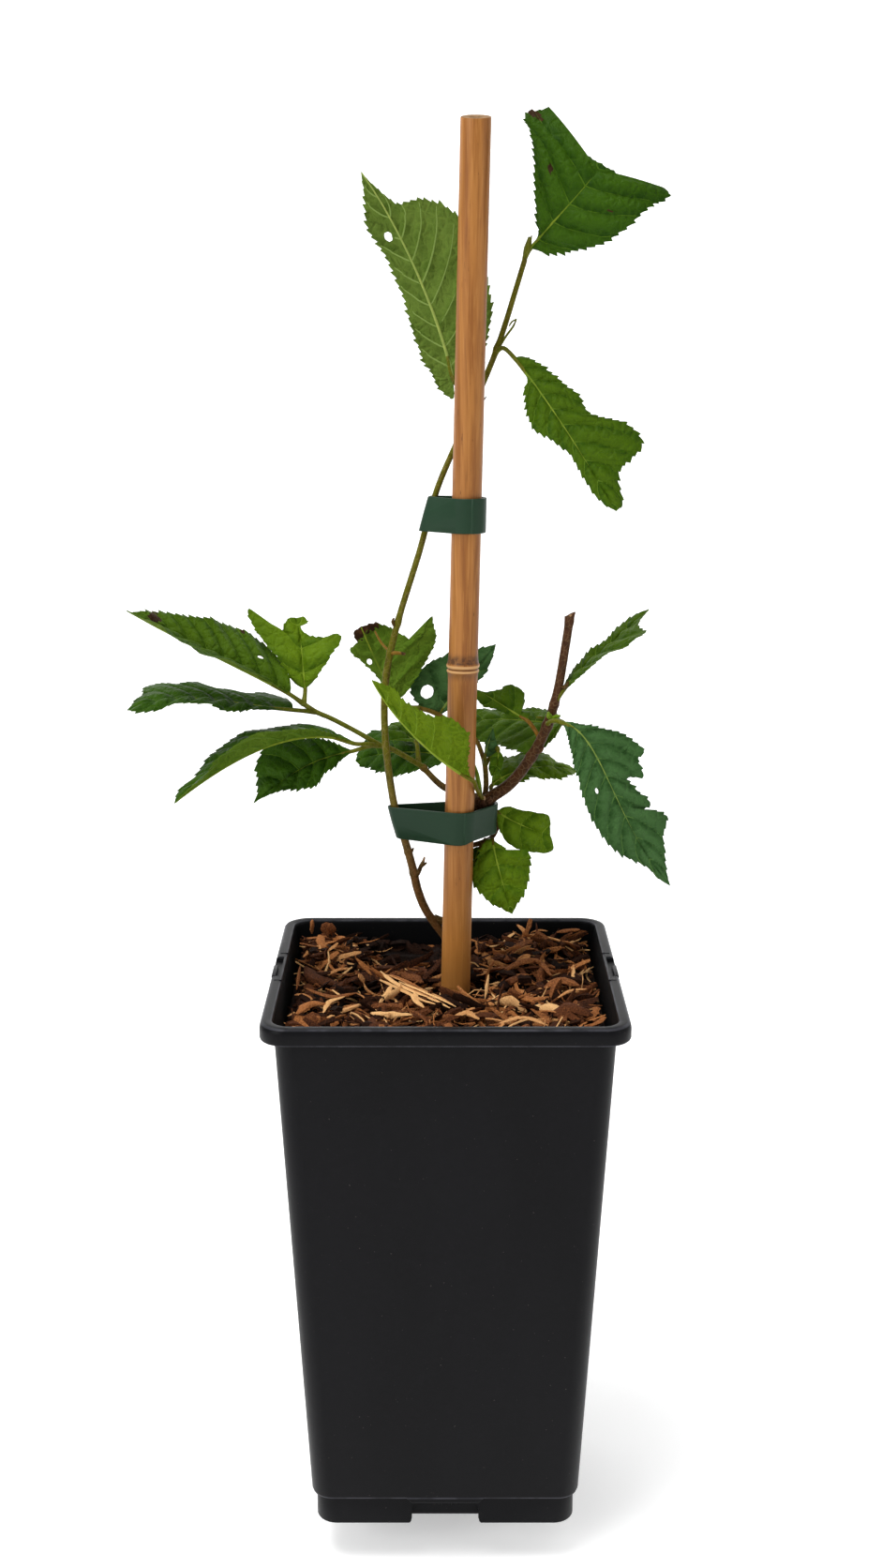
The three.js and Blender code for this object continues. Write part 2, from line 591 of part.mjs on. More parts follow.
// Ties: a band drawn round several stems, as the hull of their level cross sections.
function sectionAt(rows, z) {
  const curve = pathOf(rows);
  const samples = curve.getPoints(SECTION_SAMPLES);
  const gaps = samples.map((p) => Math.abs(p.z - z));
  const near = gaps.indexOf(Math.min(...gaps));
  const share = near / SECTION_SAMPLES;
  const rise = Math.abs(curve.getTangent(share).z);
  return { x: samples[near].x, y: samples[near].y, radius: radiusAt(rows, share) / rise };
}

function hullRing(sections, offset, z) {
  return Array.from({ length: TIE_DIRECTIONS }, (_, i) => {
    const angle = (2 * Math.PI * i) / TIE_DIRECTIONS;
    const cos = Math.cos(angle);
    const sin = Math.sin(angle);
    const reach = (s) => s.x * cos + s.y * sin + s.radius;
    const far = sections.reduce((best, s) => (reach(s) > reach(best) ? s : best));
    const out = far.radius + offset;
    return new THREE.Vector3(far.x + out * cos, far.y + out * sin, z);
  });
}

// An upright is a round section that the band keeps to over its whole height.
function tie({ foot, head, uprights }, limbNames) {
  const levels = Array.from({ length: TIE_LEVELS }, (_, k) => (
    THREE.MathUtils.lerp(foot, head, k / (TIE_LEVELS - 1))
  ));
  const wall = (offset) => levels.map((z) => {
    const stems = limbNames.map((name) => sectionAt(LIMBS[name], z));
    return hullRing([caneAt(z), ...stems, ...uprights], offset, z);
  });
  const inner = wall(2 * GAP);
  const outer = wall(2 * GAP + TIE_THICKNESS);
  const rings = [...inner, ...outer.reverse()];
  const points = rings.flat();
  const faces = [];
  for (let k = 0; k < rings.length; k += 1) {
    for (let i = 0; i < TIE_DIRECTIONS; i += 1) {
      const next = (i + 1) % TIE_DIRECTIONS;
      const here = k * TIE_DIRECTIONS;
      const there = ((k + 1) % rings.length) * TIE_DIRECTIONS;
      faces.push(here + i, here + next, there + next, here + i, there + next, there + i);
    }
  }
  const geometry = new THREE.BufferGeometry().setFromPoints(points);
  geometry.setIndex(faces);
  return toSolid(geometry);
}

// Filling
function mulchHeight(x, y) {
  const ripple = RIPPLE_HEIGHT * Math.sin(x / RIPPLE_REACH_X + 1) * Math.cos(y / RIPPLE_REACH_Y);
  const cross = CROSS_RIPPLE_HEIGHT * Math.sin((x + y) / CROSS_RIPPLE_REACH);
  const banks = MULCH_BANKS.map((bank) => (
    bank.height * Math.exp(-(((x - bank.x) ** 2 + (y - bank.y) ** 2) / bank.spread ** 2))
  ));
  return banks.reduce((sum, height) => sum + height, MULCH_EDGE_Z + ripple + cross);
}

function fillingRing(z, share = 1) {
  return roundedSquare(innerWidthAt(z) - 2 * GAP, INNER_CORNER, z, share);
}

function makeCompost(holes) {
  return cut(toSolid(skin([
    roundedSquare(innerWidthAt(FLOOR_TOP) - 2 * (FLOOR_FILLET + GAP), INNER_CORNER, FLOOR_TOP + GAP),
    fillingRing(FLOOR_TOP + FLOOR_FILLET + GAP),
    fillingRing(SOIL_LEVEL - GAP),
  ])), holes);
}

function makeMulch(holes) {
  const rings = [fillingRing(SOIL_LEVEL)];
  for (let k = MULCH_RINGS; k >= 1; k -= 1) {
    const ring = fillingRing(SOIL_LEVEL, k / MULCH_RINGS);
    ring.forEach((p) => { p.z = mulchHeight(p.x, p.y); });
    rings.push(ring);
  }
  return cut(toSolid(skin(rings)), holes);
}

// Leaves
function ribAt(rib, share) {
  const u = THREE.MathUtils.clamp(share, 0, 1);
  const weights = [
    (-(3 * u - 1) * (3 * u - 2) * (u - 1)) / 2,
    (9 * u * (3 * u - 2) * (u - 1)) / 2,
    (-9 * u * (3 * u - 1) * (u - 1)) / 2,
    (u * (3 * u - 1) * (3 * u - 2)) / 2,
  ];
  const start = new THREE.Vector3();
  return rib.reduce((sum, point, k) => sum.addScaledVector(new THREE.Vector3(...point), weights[k]), start);
}

function bladePoint(leaf, side, share, distance, lift) {
  const inside = THREE.MathUtils.clamp(share, 0, 1);
  const along = ribAt(leaf.rib, inside + 0.01).sub(ribAt(leaf.rib, inside - 0.01)).normalize();
  const length = ribAt(leaf.rib, 0).distanceTo(ribAt(leaf.rib, 1));
  const across = new THREE.Vector3().crossVectors(along, new THREE.Vector3(...leaf.facing)).normalize();
  const up = new THREE.Vector3().crossVectors(across, along);
  const fold = THREE.MathUtils.degToRad(leaf.fold[side < 0 ? 0 : 1]);
  const out = across.clone().multiplyScalar(side * Math.cos(fold)).addScaledVector(up, Math.sin(fold));
  const normal = up.clone().multiplyScalar(Math.cos(fold)).addScaledVector(across, -side * Math.sin(fold));
  return ribAt(leaf.rib, inside)
    .addScaledVector(along, (share - inside) * length)
    .addScaledVector(out, distance)
    .addScaledVector(normal, lift);
}

// One half of a blade: veins run from the rib to the edge, slanting to the tip.
function bladeHalf(leaf, side) {
  const pairs = [[0, 0], ...(side < 0 ? leaf.left : leaf.right), [1, 0]];
  const edge = new THREE.SplineCurve(pairs.map(([u, w]) => new THREE.Vector2(u, w)));
  let foot = 0;
  const rows = [];
  for (let i = 0; i <= BLADE_STEPS; i += 1) {
    const { x: share, y: distance } = edge.getPoint(i / BLADE_STEPS);
    const width = Math.max(distance, 0);
    foot = Math.max(foot, Math.min(share - VEIN_SLANT * width, 1));
    if (i === BLADE_STEPS) foot = 1;
    rows.push({ foot, share, width });
  }
  const layer = (lift) => rows.map((row) => Array.from({ length: BLADE_COLUMNS + 1 }, (_, j) => {
    const part = j / BLADE_COLUMNS;
    return bladePoint(leaf, side, THREE.MathUtils.lerp(row.foot, row.share, part), row.width * part, lift);
  }));
  const top = layer(BLADE / 2);
  const bottom = layer(-BLADE / 2);
  const triangles = [];
  const quad = (a, b, c, d) => triangles.push(a, b, c, a, c, d);
  for (let i = 0; i < BLADE_STEPS; i += 1) {
    for (let j = 0; j < BLADE_COLUMNS; j += 1) {
      quad(top[i][j], top[i + 1][j], top[i + 1][j + 1], top[i][j + 1]);
      quad(bottom[i][j], bottom[i][j + 1], bottom[i + 1][j + 1], bottom[i + 1][j]);
    }
    const last = BLADE_COLUMNS;
    quad(top[i][0], bottom[i][0], bottom[i + 1][0], top[i + 1][0]);
    quad(top[i][last], top[i + 1][last], bottom[i + 1][last], bottom[i][last]);
  }
  return toSolid(mergeVertices(new THREE.BufferGeometry().setFromPoints(triangles), 1e-4));
}

function leafSolid(leaf, stalk) {
  const ribRows = RIB_SHARES.map((share) => {
    const radius = THREE.MathUtils.lerp(PETIOLE_RADIUS, RIB_TIP_RADIUS, share);
    return [...bladePoint(leaf, 1, share, 0, 0).toArray(), radius];
  });
  const stalkRows = stalk.map((point) => [...point, PETIOLE_RADIUS]);
  const rib = limb([...stalkRows, ...ribRows], { sides: RIB_SIDES, perSpan: 1 });
  return join([rib, bladeHalf(leaf, -1), bladeHalf(leaf, 1)]);
}

function makeMass({ on, twigs, leaves }) {
  const pieces = [
    ...twigs.map((rows) => limb(rows, { sides: 6 })),
    ...Object.entries(leaves).map(([name, stalk]) => leafSolid(LEAVES[name], stalk)),
  ];
  return filled(cut(join(pieces), on.map(grownLimb)));
}

// The whole plant in its pot
const plant = new THREE.Group();

function show(name, solid, finish) {
  const material = new THREE.MeshStandardMaterial({ ...FINISH[finish], metalness: 0 });
  const mesh = new THREE.Mesh(toGeometry(solid), material);
  mesh.name = name;
  plant.add(mesh);
}

const trunk = limb(LIMBS.trunk, { levelFoot: true });
const grownTrunk = grownLimb('trunk');
const caneHole = caneSolid(GAP);

show('pot', makePot(), 'pot');
show('compost', makeCompost([caneHole]), 'compost');
show('bark_mulch', makeMulch([caneHole, grownTrunk]), 'bark_mulch');
show('cane', caneSolid(), 'cane');
show('lower_tie', tie(LOWER_TIE, ['leader', 'trunk']), 'tie');
show('upper_tie', tie(UPPER_TIE, ['leader']), 'tie');
show('trunk', trunk, 'bark');
show('leader', cut(limb(LIMBS.leader), [grownTrunk]), 'green_stem');
show('pruned_branch', cut(limb(LIMBS.pruned_branch), [grownTrunk]), 'bark');
show('left_branch', cut(limb(LIMBS.left_branch, { sides: 6 }), [grownTrunk]), 'bark');
Object.entries(MASSES).forEach(([name, mass]) => show(name, makeMass(mass), 'leaf'));

export default plant;
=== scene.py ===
"""A nanking cherry in a tall square nursery pot, tied to a bamboo cane: its looks, built round the frame.

Sizes are millimetres in the frame's own axes, +Z up and -Y to the front, and become metres when a piece
is made.
"""

import logging
import math
from collections.abc import Callable, Sequence
from dataclasses import dataclass, field
from enum import Enum
from random import Random

import bmesh
import bpy
import numpy as np
from mathutils import Matrix, Vector, noise


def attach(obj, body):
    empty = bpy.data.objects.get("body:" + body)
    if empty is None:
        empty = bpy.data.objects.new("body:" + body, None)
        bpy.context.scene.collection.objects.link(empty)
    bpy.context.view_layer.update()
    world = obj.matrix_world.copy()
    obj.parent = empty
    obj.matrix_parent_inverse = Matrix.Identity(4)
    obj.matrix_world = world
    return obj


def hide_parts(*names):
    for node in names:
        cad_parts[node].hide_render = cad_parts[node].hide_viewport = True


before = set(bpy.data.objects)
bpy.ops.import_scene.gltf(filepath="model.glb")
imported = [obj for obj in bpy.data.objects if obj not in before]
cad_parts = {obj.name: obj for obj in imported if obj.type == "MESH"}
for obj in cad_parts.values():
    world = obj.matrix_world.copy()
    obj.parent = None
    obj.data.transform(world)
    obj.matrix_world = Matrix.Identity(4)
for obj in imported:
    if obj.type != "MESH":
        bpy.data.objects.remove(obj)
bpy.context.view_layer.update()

Array = np.ndarray
BMesh = bmesh.types.BMesh
Material = bpy.types.Material
Object = bpy.types.Object
Point = tuple[float, float, float]
Pair = tuple[float, float]
Row = tuple[float, float, float, float]
Colour = tuple[float, float, float, float]

METRES = 0.001
SEED = 5
CHANCE = Random(SEED)
BODY = "root"

log = logging.getLogger("nanking_cherry")


def paint(red: int, green: int, blue: int) -> Colour:
    """A colour as a shader reads it.

    Args:
        red, green, blue: the colour as it looks on a screen, 0 to 255.

    Returns:
        The same colour in linear light, with full alpha.
    """
    parts = [value / 255 for value in (red, green, blue)]
    linear = [part / 12.92 if part <= 0.04045 else ((part + 0.055) / 1.055) ** 2.4 for part in parts]
    return (*linear, 1.0)


def smooth_step(value: Array | float, low: float, high: float) -> Array | float:
    """A soft step from 0 at low to 1 at high."""
    share = np.clip((value - low) / (high - low), 0.0, 1.0)
    return share * share * (3 - 2 * share)


def unit(vectors: Array) -> Array:
    """The same vectors at length 1."""
    return vectors / np.maximum(np.linalg.norm(vectors, axis=-1, keepdims=True), 1e-12)


def round_angles(sides: int) -> Array:
    """The angles of a ring's points, whose last is its first once more."""
    return np.append(np.linspace(0, 2 * math.pi, sides + 1)[:-1], 0)


# Materials


class Socket:
    """A value in a material's node tree. Python arithmetic on it adds Math nodes."""

    def __init__(self, recipe: "Recipe", link: bpy.types.NodeSocket) -> None:
        """Keeps the tree and the output that carries the value."""
        self.recipe = recipe
        self.link = link

    def _math(self, operation: str, first: "Value", second: "Value") -> "Socket":
        """One Math node on two values."""
        return self.recipe.node("ShaderNodeMath", {"operation": operation}, {0: first, 1: second})

    def __add__(self, other: "Value") -> "Socket":
        """self + other."""
        return self._math("ADD", self, other)

    def __radd__(self, other: "Value") -> "Socket":
        """other + self."""
        return self._math("ADD", other, self)

    def __sub__(self, other: "Value") -> "Socket":
        """self - other."""
        return self._math("SUBTRACT", self, other)

    def __rsub__(self, other: "Value") -> "Socket":
        """other - self."""
        return self._math("SUBTRACT", other, self)

    def __mul__(self, other: "Value") -> "Socket":
        """self * other."""
        return self._math("MULTIPLY", self, other)

    def __rmul__(self, other: "Value") -> "Socket":
        """other * self."""
        return self._math("MULTIPLY", other, self)

    def between(self, low: float, high: float) -> "Socket":
        """A soft step from 0 where the value is low to 1 where it is high.

        Args:
            low: where the step starts.
            high: where it ends.

        Returns:
            The step's value.
        """
        return self.recipe.node(
            "ShaderNodeMapRange",
            {"interpolation_type": "SMOOTHSTEP", "clamp": True},
            {"Value": self, "From Min": low, "From Max": high, "To Min": 0.0, "To Max": 1.0},
        )


Value = Socket | float | tuple


class Recipe:
    """A material under way: its principled shader, and the nodes that feed it."""

    def __init__(self, name: str, roughness: float, specular: float = 0.5) -> None:
        """Makes the material with its one shader.

        Args:
            name: its name.
            roughness: 0 for a mirror, 1 for chalk.
            specular: how strongly it shines.
        """
        self.material = bpy.data.materials.new(name)
        self.material.use_nodes = True
        self.tree = self.material.node_tree
        self.shader = next(node for node in self.tree.nodes if node.type == "BSDF_PRINCIPLED")
        self.shader.inputs["Roughness"].default_value = roughness
        self.shader.inputs["Specular IOR Level"].default_value = specular
        self.place = self.node("ShaderNodeTexCoord", output="Object")

    def node(
        self,
        kind: str,
        settings: dict[str, object] | None = None,
        inputs: dict[str | int, Value] | None = None,
        output: str | int = 0,
    ) -> Socket:
        """Adds one node.

        Args:
            kind: the node's type.
            settings: its own settings, set first. "stops" holds a ramp's places and colours.
            inputs: values or links for its sockets.
            output: the output that is wanted.

        Returns:
            That output.
        """
        made = self.tree.nodes.new(kind)
        for key, value in (settings or {}).items():
            if key == "stops":
                self._stops(made.color_ramp, value)
            else:
                setattr(made, key, value)
        for key, value in (inputs or {}).items():
            self.feed(made.inputs[key], value)
        return Socket(self, made.outputs[output])

    def _stops(self, ramp: bpy.types.ColorRamp, stops: Sequence[tuple[float, Colour]]) -> None:
        """Gives a ramp its colours.

        Args:
            ramp: the ramp.
            stops: its places and colours.
        """
        while len(ramp.elements) < len(stops):
            ramp.elements.new(0.5)
        for element, (place, colour) in zip(ramp.elements, stops):
            element.position = place
            element.color = colour

    def feed(self, socket: bpy.types.NodeSocket, value: Value) -> None:
        """Links or sets one input.

        Args:
            socket: the input.
            value: what it gets.
        """
        if isinstance(value, Socket):
            self.tree.links.new(value.link, socket)
        else:
            socket.default_value = value

    def set(self, name: str, value: Value) -> None:
        """Feeds one of the shader's own sockets."""
        self.feed(self.shader.inputs[name], value)

    def blend(self, share: Value, first: Value, second: Value) -> Socket:
        """Two colours mixed."""
        return self.node("ShaderNodeMix", {"data_type": "RGBA"}, {0: share, 6: first, 7: second}, output=2)

    def stretched(self, stretch: Point) -> Socket:
        """The place on the object, squeezed along each axis, so that a pattern stretches there."""
        return self.node("ShaderNodeMapping", None, {"Vector": self.place, "Scale": stretch})

    def grain(self, size: float, detail: float = 3.0, stretch: Point = (1.0, 1.0, 1.0)) -> Socket:
        """Soft noise, 0 to 1.

        Args:
            size: how large its patches are, in mm.
            detail: how many finer layers it has.
            stretch: under 1 along an axis stretches the patches there.
        """
        inputs = {"Vector": self.stretched(stretch), "Scale": 1 / (size * METRES), "Detail": detail}
        return self.node("ShaderNodeTexNoise", None, inputs)

    def cells(self, size: float) -> Socket:
        """How far a point is from the nearest border between cells, 0 to about half a cell."""
        inputs = {"Vector": self.place, "Scale": 1 / (size * METRES)}
        return self.node("ShaderNodeTexVoronoi", {"feature": "DISTANCE_TO_EDGE"}, inputs)

    def height(self) -> Socket:
        """How high the point is, in metres."""
        return self.node("ShaderNodeSeparateXYZ", None, {"Vector": self.place}, output="Z")

    def trait(self, name: str) -> Socket:
        """A number that the mesh carries."""
        settings = {"attribute_type": "GEOMETRY", "attribute_name": name}
        return self.node("ShaderNodeAttribute", settings, output="Fac")

    def relief(self, height: Socket, depth: float) -> None:
        """Bumps the surface by a height of 0 to 1, depth mm deep."""
        inputs = {"Strength": 1.0, "Distance": depth * METRES, "Height": height}
        self.set("Normal", self.node("ShaderNodeBump", None, inputs))


@dataclass(frozen=True)
class LeafFinish:
    """The skin of one side of a leaf, or a vein on it.

    The painted relief light is how much of its mottling and lit colour the mesh's own shade number tells, and
    not noise:
    painted light and shade on the quilting, dark in the grooves by the veins and lighter on the bulges.
    """

    name: str
    colour: Colour
    mottle_and_lit_colour: Colour
    roughness: float = 0.5
    specular: float = 0.2
    net: float = 0.3
    painted_relief_light: float = 0.0

    def make(self) -> Material:
        """A mottled green, quilted between a coarse and a fine net of veins.

        Returns:
            The material.
        """
        recipe = Recipe(self.name, self.roughness, specular=self.specular)
        patches = recipe.grain(15.0, 5.0).between(0.3, 0.7)
        quilt = recipe.cells(4.2).between(0.0, 0.3)
        net = recipe.cells(1.3).between(0.0, 0.22)
        # Painted light and shade: the shade number darkens the grooves by the veins and lightens the bulges.
        share = patches * (0.75 - 0.6 * self.painted_relief_light) + recipe.trait("shade") * self.painted_relief_light
        lamina = recipe.blend(share, self.colour, self.mottle_and_lit_colour)
        lamina = recipe.blend((1 - quilt) * 0.36, lamina, self.mottle_and_lit_colour)
        recipe.set("Base Color", recipe.blend((1 - net) * 0.14, lamina, self.mottle_and_lit_colour))
        recipe.set("Roughness", self.roughness + (recipe.grain(5.0) - 0.5) * 0.2)
        recipe.relief(quilt * 0.7 + net * 0.18 + recipe.grain(0.7) * 0.12, self.net)
        return recipe.material


@dataclass(frozen=True)
class BarkFinish:
    """Bark or a green shoot, whose colour may change on the way up."""

    name: str
    low: Colour
    high: Colour
    dark: Colour
    turn: Pair = (0.0, 1.0)
    roughness: float = 0.62
    depth: float = 0.12

    def make(self) -> Material:
        """Fine lengthwise streaks, darker flecks and pale pores.

        Returns:
            The material.
        """
        recipe = Recipe(self.name, self.roughness, specular=0.08)
        rise = recipe.height().between(*[level * METRES for level in self.turn])
        streaks = recipe.grain(1.3, 4.0, (1.0, 1.0, 0.25))
        flecks = recipe.grain(2.4, 3.0, (1.0, 1.0, 0.5)).between(0.5, 0.68)
        pores = recipe.cells(2.6).between(0.07, 0.0)
        skin = recipe.blend(rise, self.low, self.high)
        skin = recipe.blend(flecks * 0.6, skin, self.dark)
        skin = recipe.blend(streaks.between(0.3, 0.7) * 0.3, skin, self.dark)
        recipe.set("Base Color", recipe.blend(pores * 0.18, skin, paint(168, 140, 100)))
        recipe.set("Roughness", self.roughness + (streaks - 0.5) * 0.3)
        recipe.relief(streaks * 0.7 + pores * 0.3, self.depth)
        return recipe.material


@dataclass(frozen=True)
class CaneFinish:
    """Dry bamboo: fine fibres, a stained band over its node and two pale rings on it."""

    node_level: float
    name: str = "bamboo_skin"

    def make(self) -> Material:
        """The cane's skin, with its colours told by the height.

        Returns:
            The material.
        """
        recipe = Recipe(self.name, 0.42, specular=0.28)
        level = recipe.height() * (1 / METRES) - self.node_level
        fibres = recipe.grain(0.55, 4.0, (1.0, 1.0, 0.018))
        bands = recipe.grain(2.6, 2.0, (1.0, 1.0, 0.03))
        flecks = recipe.grain(0.8, 2.0, (1.0, 1.0, 0.12)).between(0.69, 0.76)
        clouds = recipe.grain(26.0, 3.0, (1.0, 1.0, 0.5))
        skin = recipe.blend(bands.between(0.36, 0.62), paint(164, 108, 50), paint(138, 84, 34))
        # The paler fibre streaks are partly the cane's grain and partly painted highlight along the fibres.
        skin = recipe.blend(fibres.between(0.5, 0.72) * 0.4, skin, paint(186, 132, 70))
        skin = recipe.blend(fibres.between(0.46, 0.3) * 0.4, skin, paint(120, 72, 30))
        skin = recipe.blend(clouds.between(0.5, 0.75) * 0.3, skin, paint(128, 78, 34))
        low = recipe.height().between(0.30, 0.22)
        skin = recipe.blend(low * 0.7, skin, paint(192, 130, 58))
        skin = recipe.blend(recipe.height().between(0.25, 0.228) * 0.45, skin, paint(104, 66, 30))
        skin = recipe.blend(flecks * 0.7, skin, paint(86, 48, 20))
        stain = level.between(0.5, 1.6) * level.between(6.5, 2.6)
        under = level.between(-6.5, -3.4) * level.between(-2.4, -2.8)
        speckle = recipe.grain(1.4, 3.0).between(0.4, 0.6)
        skin = recipe.blend(stain * (0.5 + speckle * 0.4), skin, paint(66, 40, 24))
        skin = recipe.blend(under * 0.5, skin, paint(104, 64, 32))
        seam = level.between(-1.6, -1.3) * level.between(-0.6, -0.9)
        skin = recipe.blend(seam * 0.7, skin, paint(96, 58, 28))
        upper = level.between(-0.8, -0.5) * level.between(0.8, 0.3)
        lower = level.between(-2.6, -2.2) * level.between(-1.4, -1.7)
        recipe.set("Base Color", recipe.blend((upper + lower) * 0.85, skin, paint(206, 160, 106)))
        recipe.set("Roughness", 0.36 + fibres * 0.2)
        recipe.relief(fibres, 0.06)
        return recipe.material


@dataclass(frozen=True)
class PlasticFinish:
    """Moulded plastic with a fine grain, soft scuffs and a little dust, and thin painted highlights at some
    heights.
    """

    name: str
    colour: Colour
    scuff: Colour
    roughness: float
    dust: float = 0.0
    specular: float = 0.15
    highlight_levels: tuple[float, ...] = ()

    def make(self) -> Material:
        """The plastic, smoother where it is scuffed.

        Returns:
            The material.
        """
        recipe = Recipe(self.name, self.roughness, specular=self.specular)
        clouds = recipe.grain(38.0, 4.0, (1.0, 1.0, 0.35))
        scuffs = recipe.grain(4.0, 5.0, (1.0, 1.0, 0.3)).between(0.6, 0.8)
        specks = recipe.grain(0.9, 1.0).between(0.78, 0.82)
        skin = recipe.blend(clouds.between(0.3, 0.7) * 0.4 + scuffs * 0.25, self.colour, self.scuff)
        # Painted highlights: a thin pale line at each highlight level, where an edge catches the light.
        highlight_grain = recipe.grain(9.0, 3.0).between(0.36, 0.6)
        for level in self.highlight_levels:
            above = recipe.height() * (1 / METRES) - level
            line = above.between(-0.5, -0.2) * above.between(0.5, 0.2)
            skin = recipe.blend(line * (highlight_grain * 0.2 + 0.16), skin, paint(96, 96, 104))
        recipe.set("Base Color", recipe.blend(specks * self.dust, skin, paint(120, 112, 104)))
        recipe.set("Roughness", self.roughness + (clouds - 0.5) * 0.12 - scuffs * 0.06)
        recipe.relief(recipe.grain(0.45, 2.0), 0.03)
        return recipe.material


@dataclass(frozen=True)
class ShredFinish:
    """Bark chips: each chip's own shade is a number on its mesh."""

    name: str
    roughness: float = 0.85

    def make(self) -> Material:
        """From near black crumbs over brown bark to pale wood strands.

        Returns:
            The material.
        """
        recipe = Recipe(self.name, self.roughness, specular=0.06)
        fibres = recipe.grain(0.6, 5.0)
        shade = recipe.trait("shade") + (fibres - 0.5) * 0.6
        stops = (
            (0.0, paint(20, 11, 7)),
            (0.2, paint(46, 25, 15)),
            (0.42, paint(98, 56, 32)),
            (0.66, paint(172, 110, 62)),
            (1.0, paint(236, 186, 126)),
        )
        recipe.set("Base Color", recipe.node("ShaderNodeValToRGB", {"stops": stops}, {"Fac": shade}))
        recipe.relief(fibres, 0.6)
        return recipe.material


@dataclass(frozen=True)
class WallFinish:
    """The plain pale floor and backdrop."""

    colour: Colour
    glow: float = 0.45

    def make(self) -> Material:
        """A matt wall that glows a little, so that it stays white behind the plant.

        Returns:
            The material.
        """
        recipe = Recipe("pale_sweep", 0.9, specular=0.1)
        recipe.set("Base Color", self.colour)
        recipe.set("Emission Color", self.colour)
        recipe.set("Emission Strength", self.glow)
        return recipe.material


class Tone(Enum):
    """The greens of the leaves: upper side, its mottling and painted light, underside, its mottling and
    painted light, side vein and midrib.
    """

    DEEP = ((20, 51, 1), (54, 86, 10), (60, 88, 14), (92, 118, 34), (70, 100, 22), (134, 146, 46))
    MIDDLE = ((36, 66, 2), (72, 99, 12), (66, 88, 20), (104, 124, 48), (86, 114, 30), (144, 156, 56))
    BLUISH = ((18, 50, 8), (66, 100, 54), (60, 88, 34), (90, 118, 54), (76, 108, 52), (138, 152, 70))
    FRESH = ((52, 83, 4), (92, 119, 16), (70, 96, 6), (104, 128, 24), (108, 134, 34), (150, 164, 58))
    PALE_BACKED = ((36, 66, 2), (72, 99, 12), (56, 79, 18), (104, 127, 52), (118, 140, 70), (158, 168, 84))
    SCORCHED = ((70, 44, 22), (40, 25, 13), (72, 48, 26), (44, 30, 16), (84, 60, 30), (96, 70, 34))


class Part(Enum):
    """What of a leaf is being painted: each tone's colours are taken from there on."""

    UPPER = 0
    UNDER = 2
    VEIN = 4
    RIB = 5


Finish = LeafFinish | BarkFinish | CaneFinish | PlasticFinish | ShredFinish


class Palette:
    """Makes each material once and hands it out by name."""

    def __init__(self) -> None:
        """Starts with no materials."""
        self.made: dict[str, Material] = {}

    def take(self, finish: Finish) -> Material:
        """The material of a finish, made on its first use.

        Args:
            finish: what makes it.

        Returns:
            The material.
        """
        if finish.name not in self.made:
            self.made[finish.name] = finish.make()
        return self.made[finish.name]

    def leaf(self, tone: Tone, part: Part) -> Material:
        """The material of one part of a leaf of that tone.

        Args:
            tone: the leaf's greens.
            part: what is painted.

        Returns:
            The material.
        """
        name = f"leaf_{tone.name}_{part.name}".lower()
        rows = [paint(*row) for row in tone.value]
        colour = rows[part.value]
        if part is Part.UPPER:
            finish = LeafFinish(name, colour, rows[1], roughness=0.46, specular=0.06, net=0.6, painted_relief_light=0.95)
        elif part is Part.UNDER:
            finish = LeafFinish(name, colour, rows[3], roughness=0.62, specular=0.04, net=0.8, painted_relief_light=0.35)
        else:
            finish = LeafFinish(name, colour, rows[Part.VEIN.value], roughness=0.55, specular=0.05, net=0.03)
        return self.take(finish)

    def bark(self, name: str) -> Material:
        """The material of a stem, by name."""
        return self.take(STEM_FINISHES[name])


STEM_FINISHES = {finish.name: finish for finish in (
    BarkFinish("trunk_bark", paint(66, 46, 30), paint(74, 46, 30), paint(32, 21, 14), turn=(230, 300),
               roughness=0.75, depth=0.3),
    BarkFinish("shoot_skin", paint(108, 74, 42), paint(92, 90, 12), paint(58, 50, 12), turn=(266, 342),
               roughness=0.45, depth=0.06),
    BarkFinish("cut_branch_bark", paint(72, 44, 21), paint(76, 48, 29), paint(40, 24, 12), turn=(310, 380),
               roughness=0.45, depth=0.08),
    BarkFinish("brown_twig", paint(80, 54, 30), paint(98, 80, 24), paint(50, 34, 18), turn=(305, 322),
               roughness=0.6, depth=0.08),
    BarkFinish("green_twig", paint(86, 74, 16), paint(94, 100, 18), paint(66, 64, 12), turn=(300, 340),
               roughness=0.48, depth=0.04),
    BarkFinish("orange_stalk", paint(134, 78, 24), paint(120, 90, 26), paint(92, 54, 18), turn=(320, 345),
               roughness=0.5, depth=0.04),
    BarkFinish("dry_bud", paint(78, 52, 28), paint(74, 54, 22), paint(36, 24, 14), roughness=0.7,
               depth=0.15),
    BarkFinish("fresh_bud", paint(118, 148, 18), paint(104, 136, 22), paint(74, 102, 14), roughness=0.45,
               depth=0.05),
    BarkFinish("pale_wood", paint(150, 118, 84), paint(158, 126, 92), paint(92, 66, 44), roughness=0.8,
               depth=0.12),
)}

PALETTE = Palette()

# Meshes


def object_of(mesh: BMesh, name: str) -> Object:
    """Ends a mesh under way.

    Args:
        mesh: the mesh, which is freed.
        name: the name of the object and of its data.

    Returns:
        The object, linked to the scene.
    """
    data = bpy.data.meshes.new(name)
    mesh.to_mesh(data)
    mesh.free()
    made = bpy.data.objects.new(name, data)
    bpy.context.scene.collection.objects.link(made)
    return made


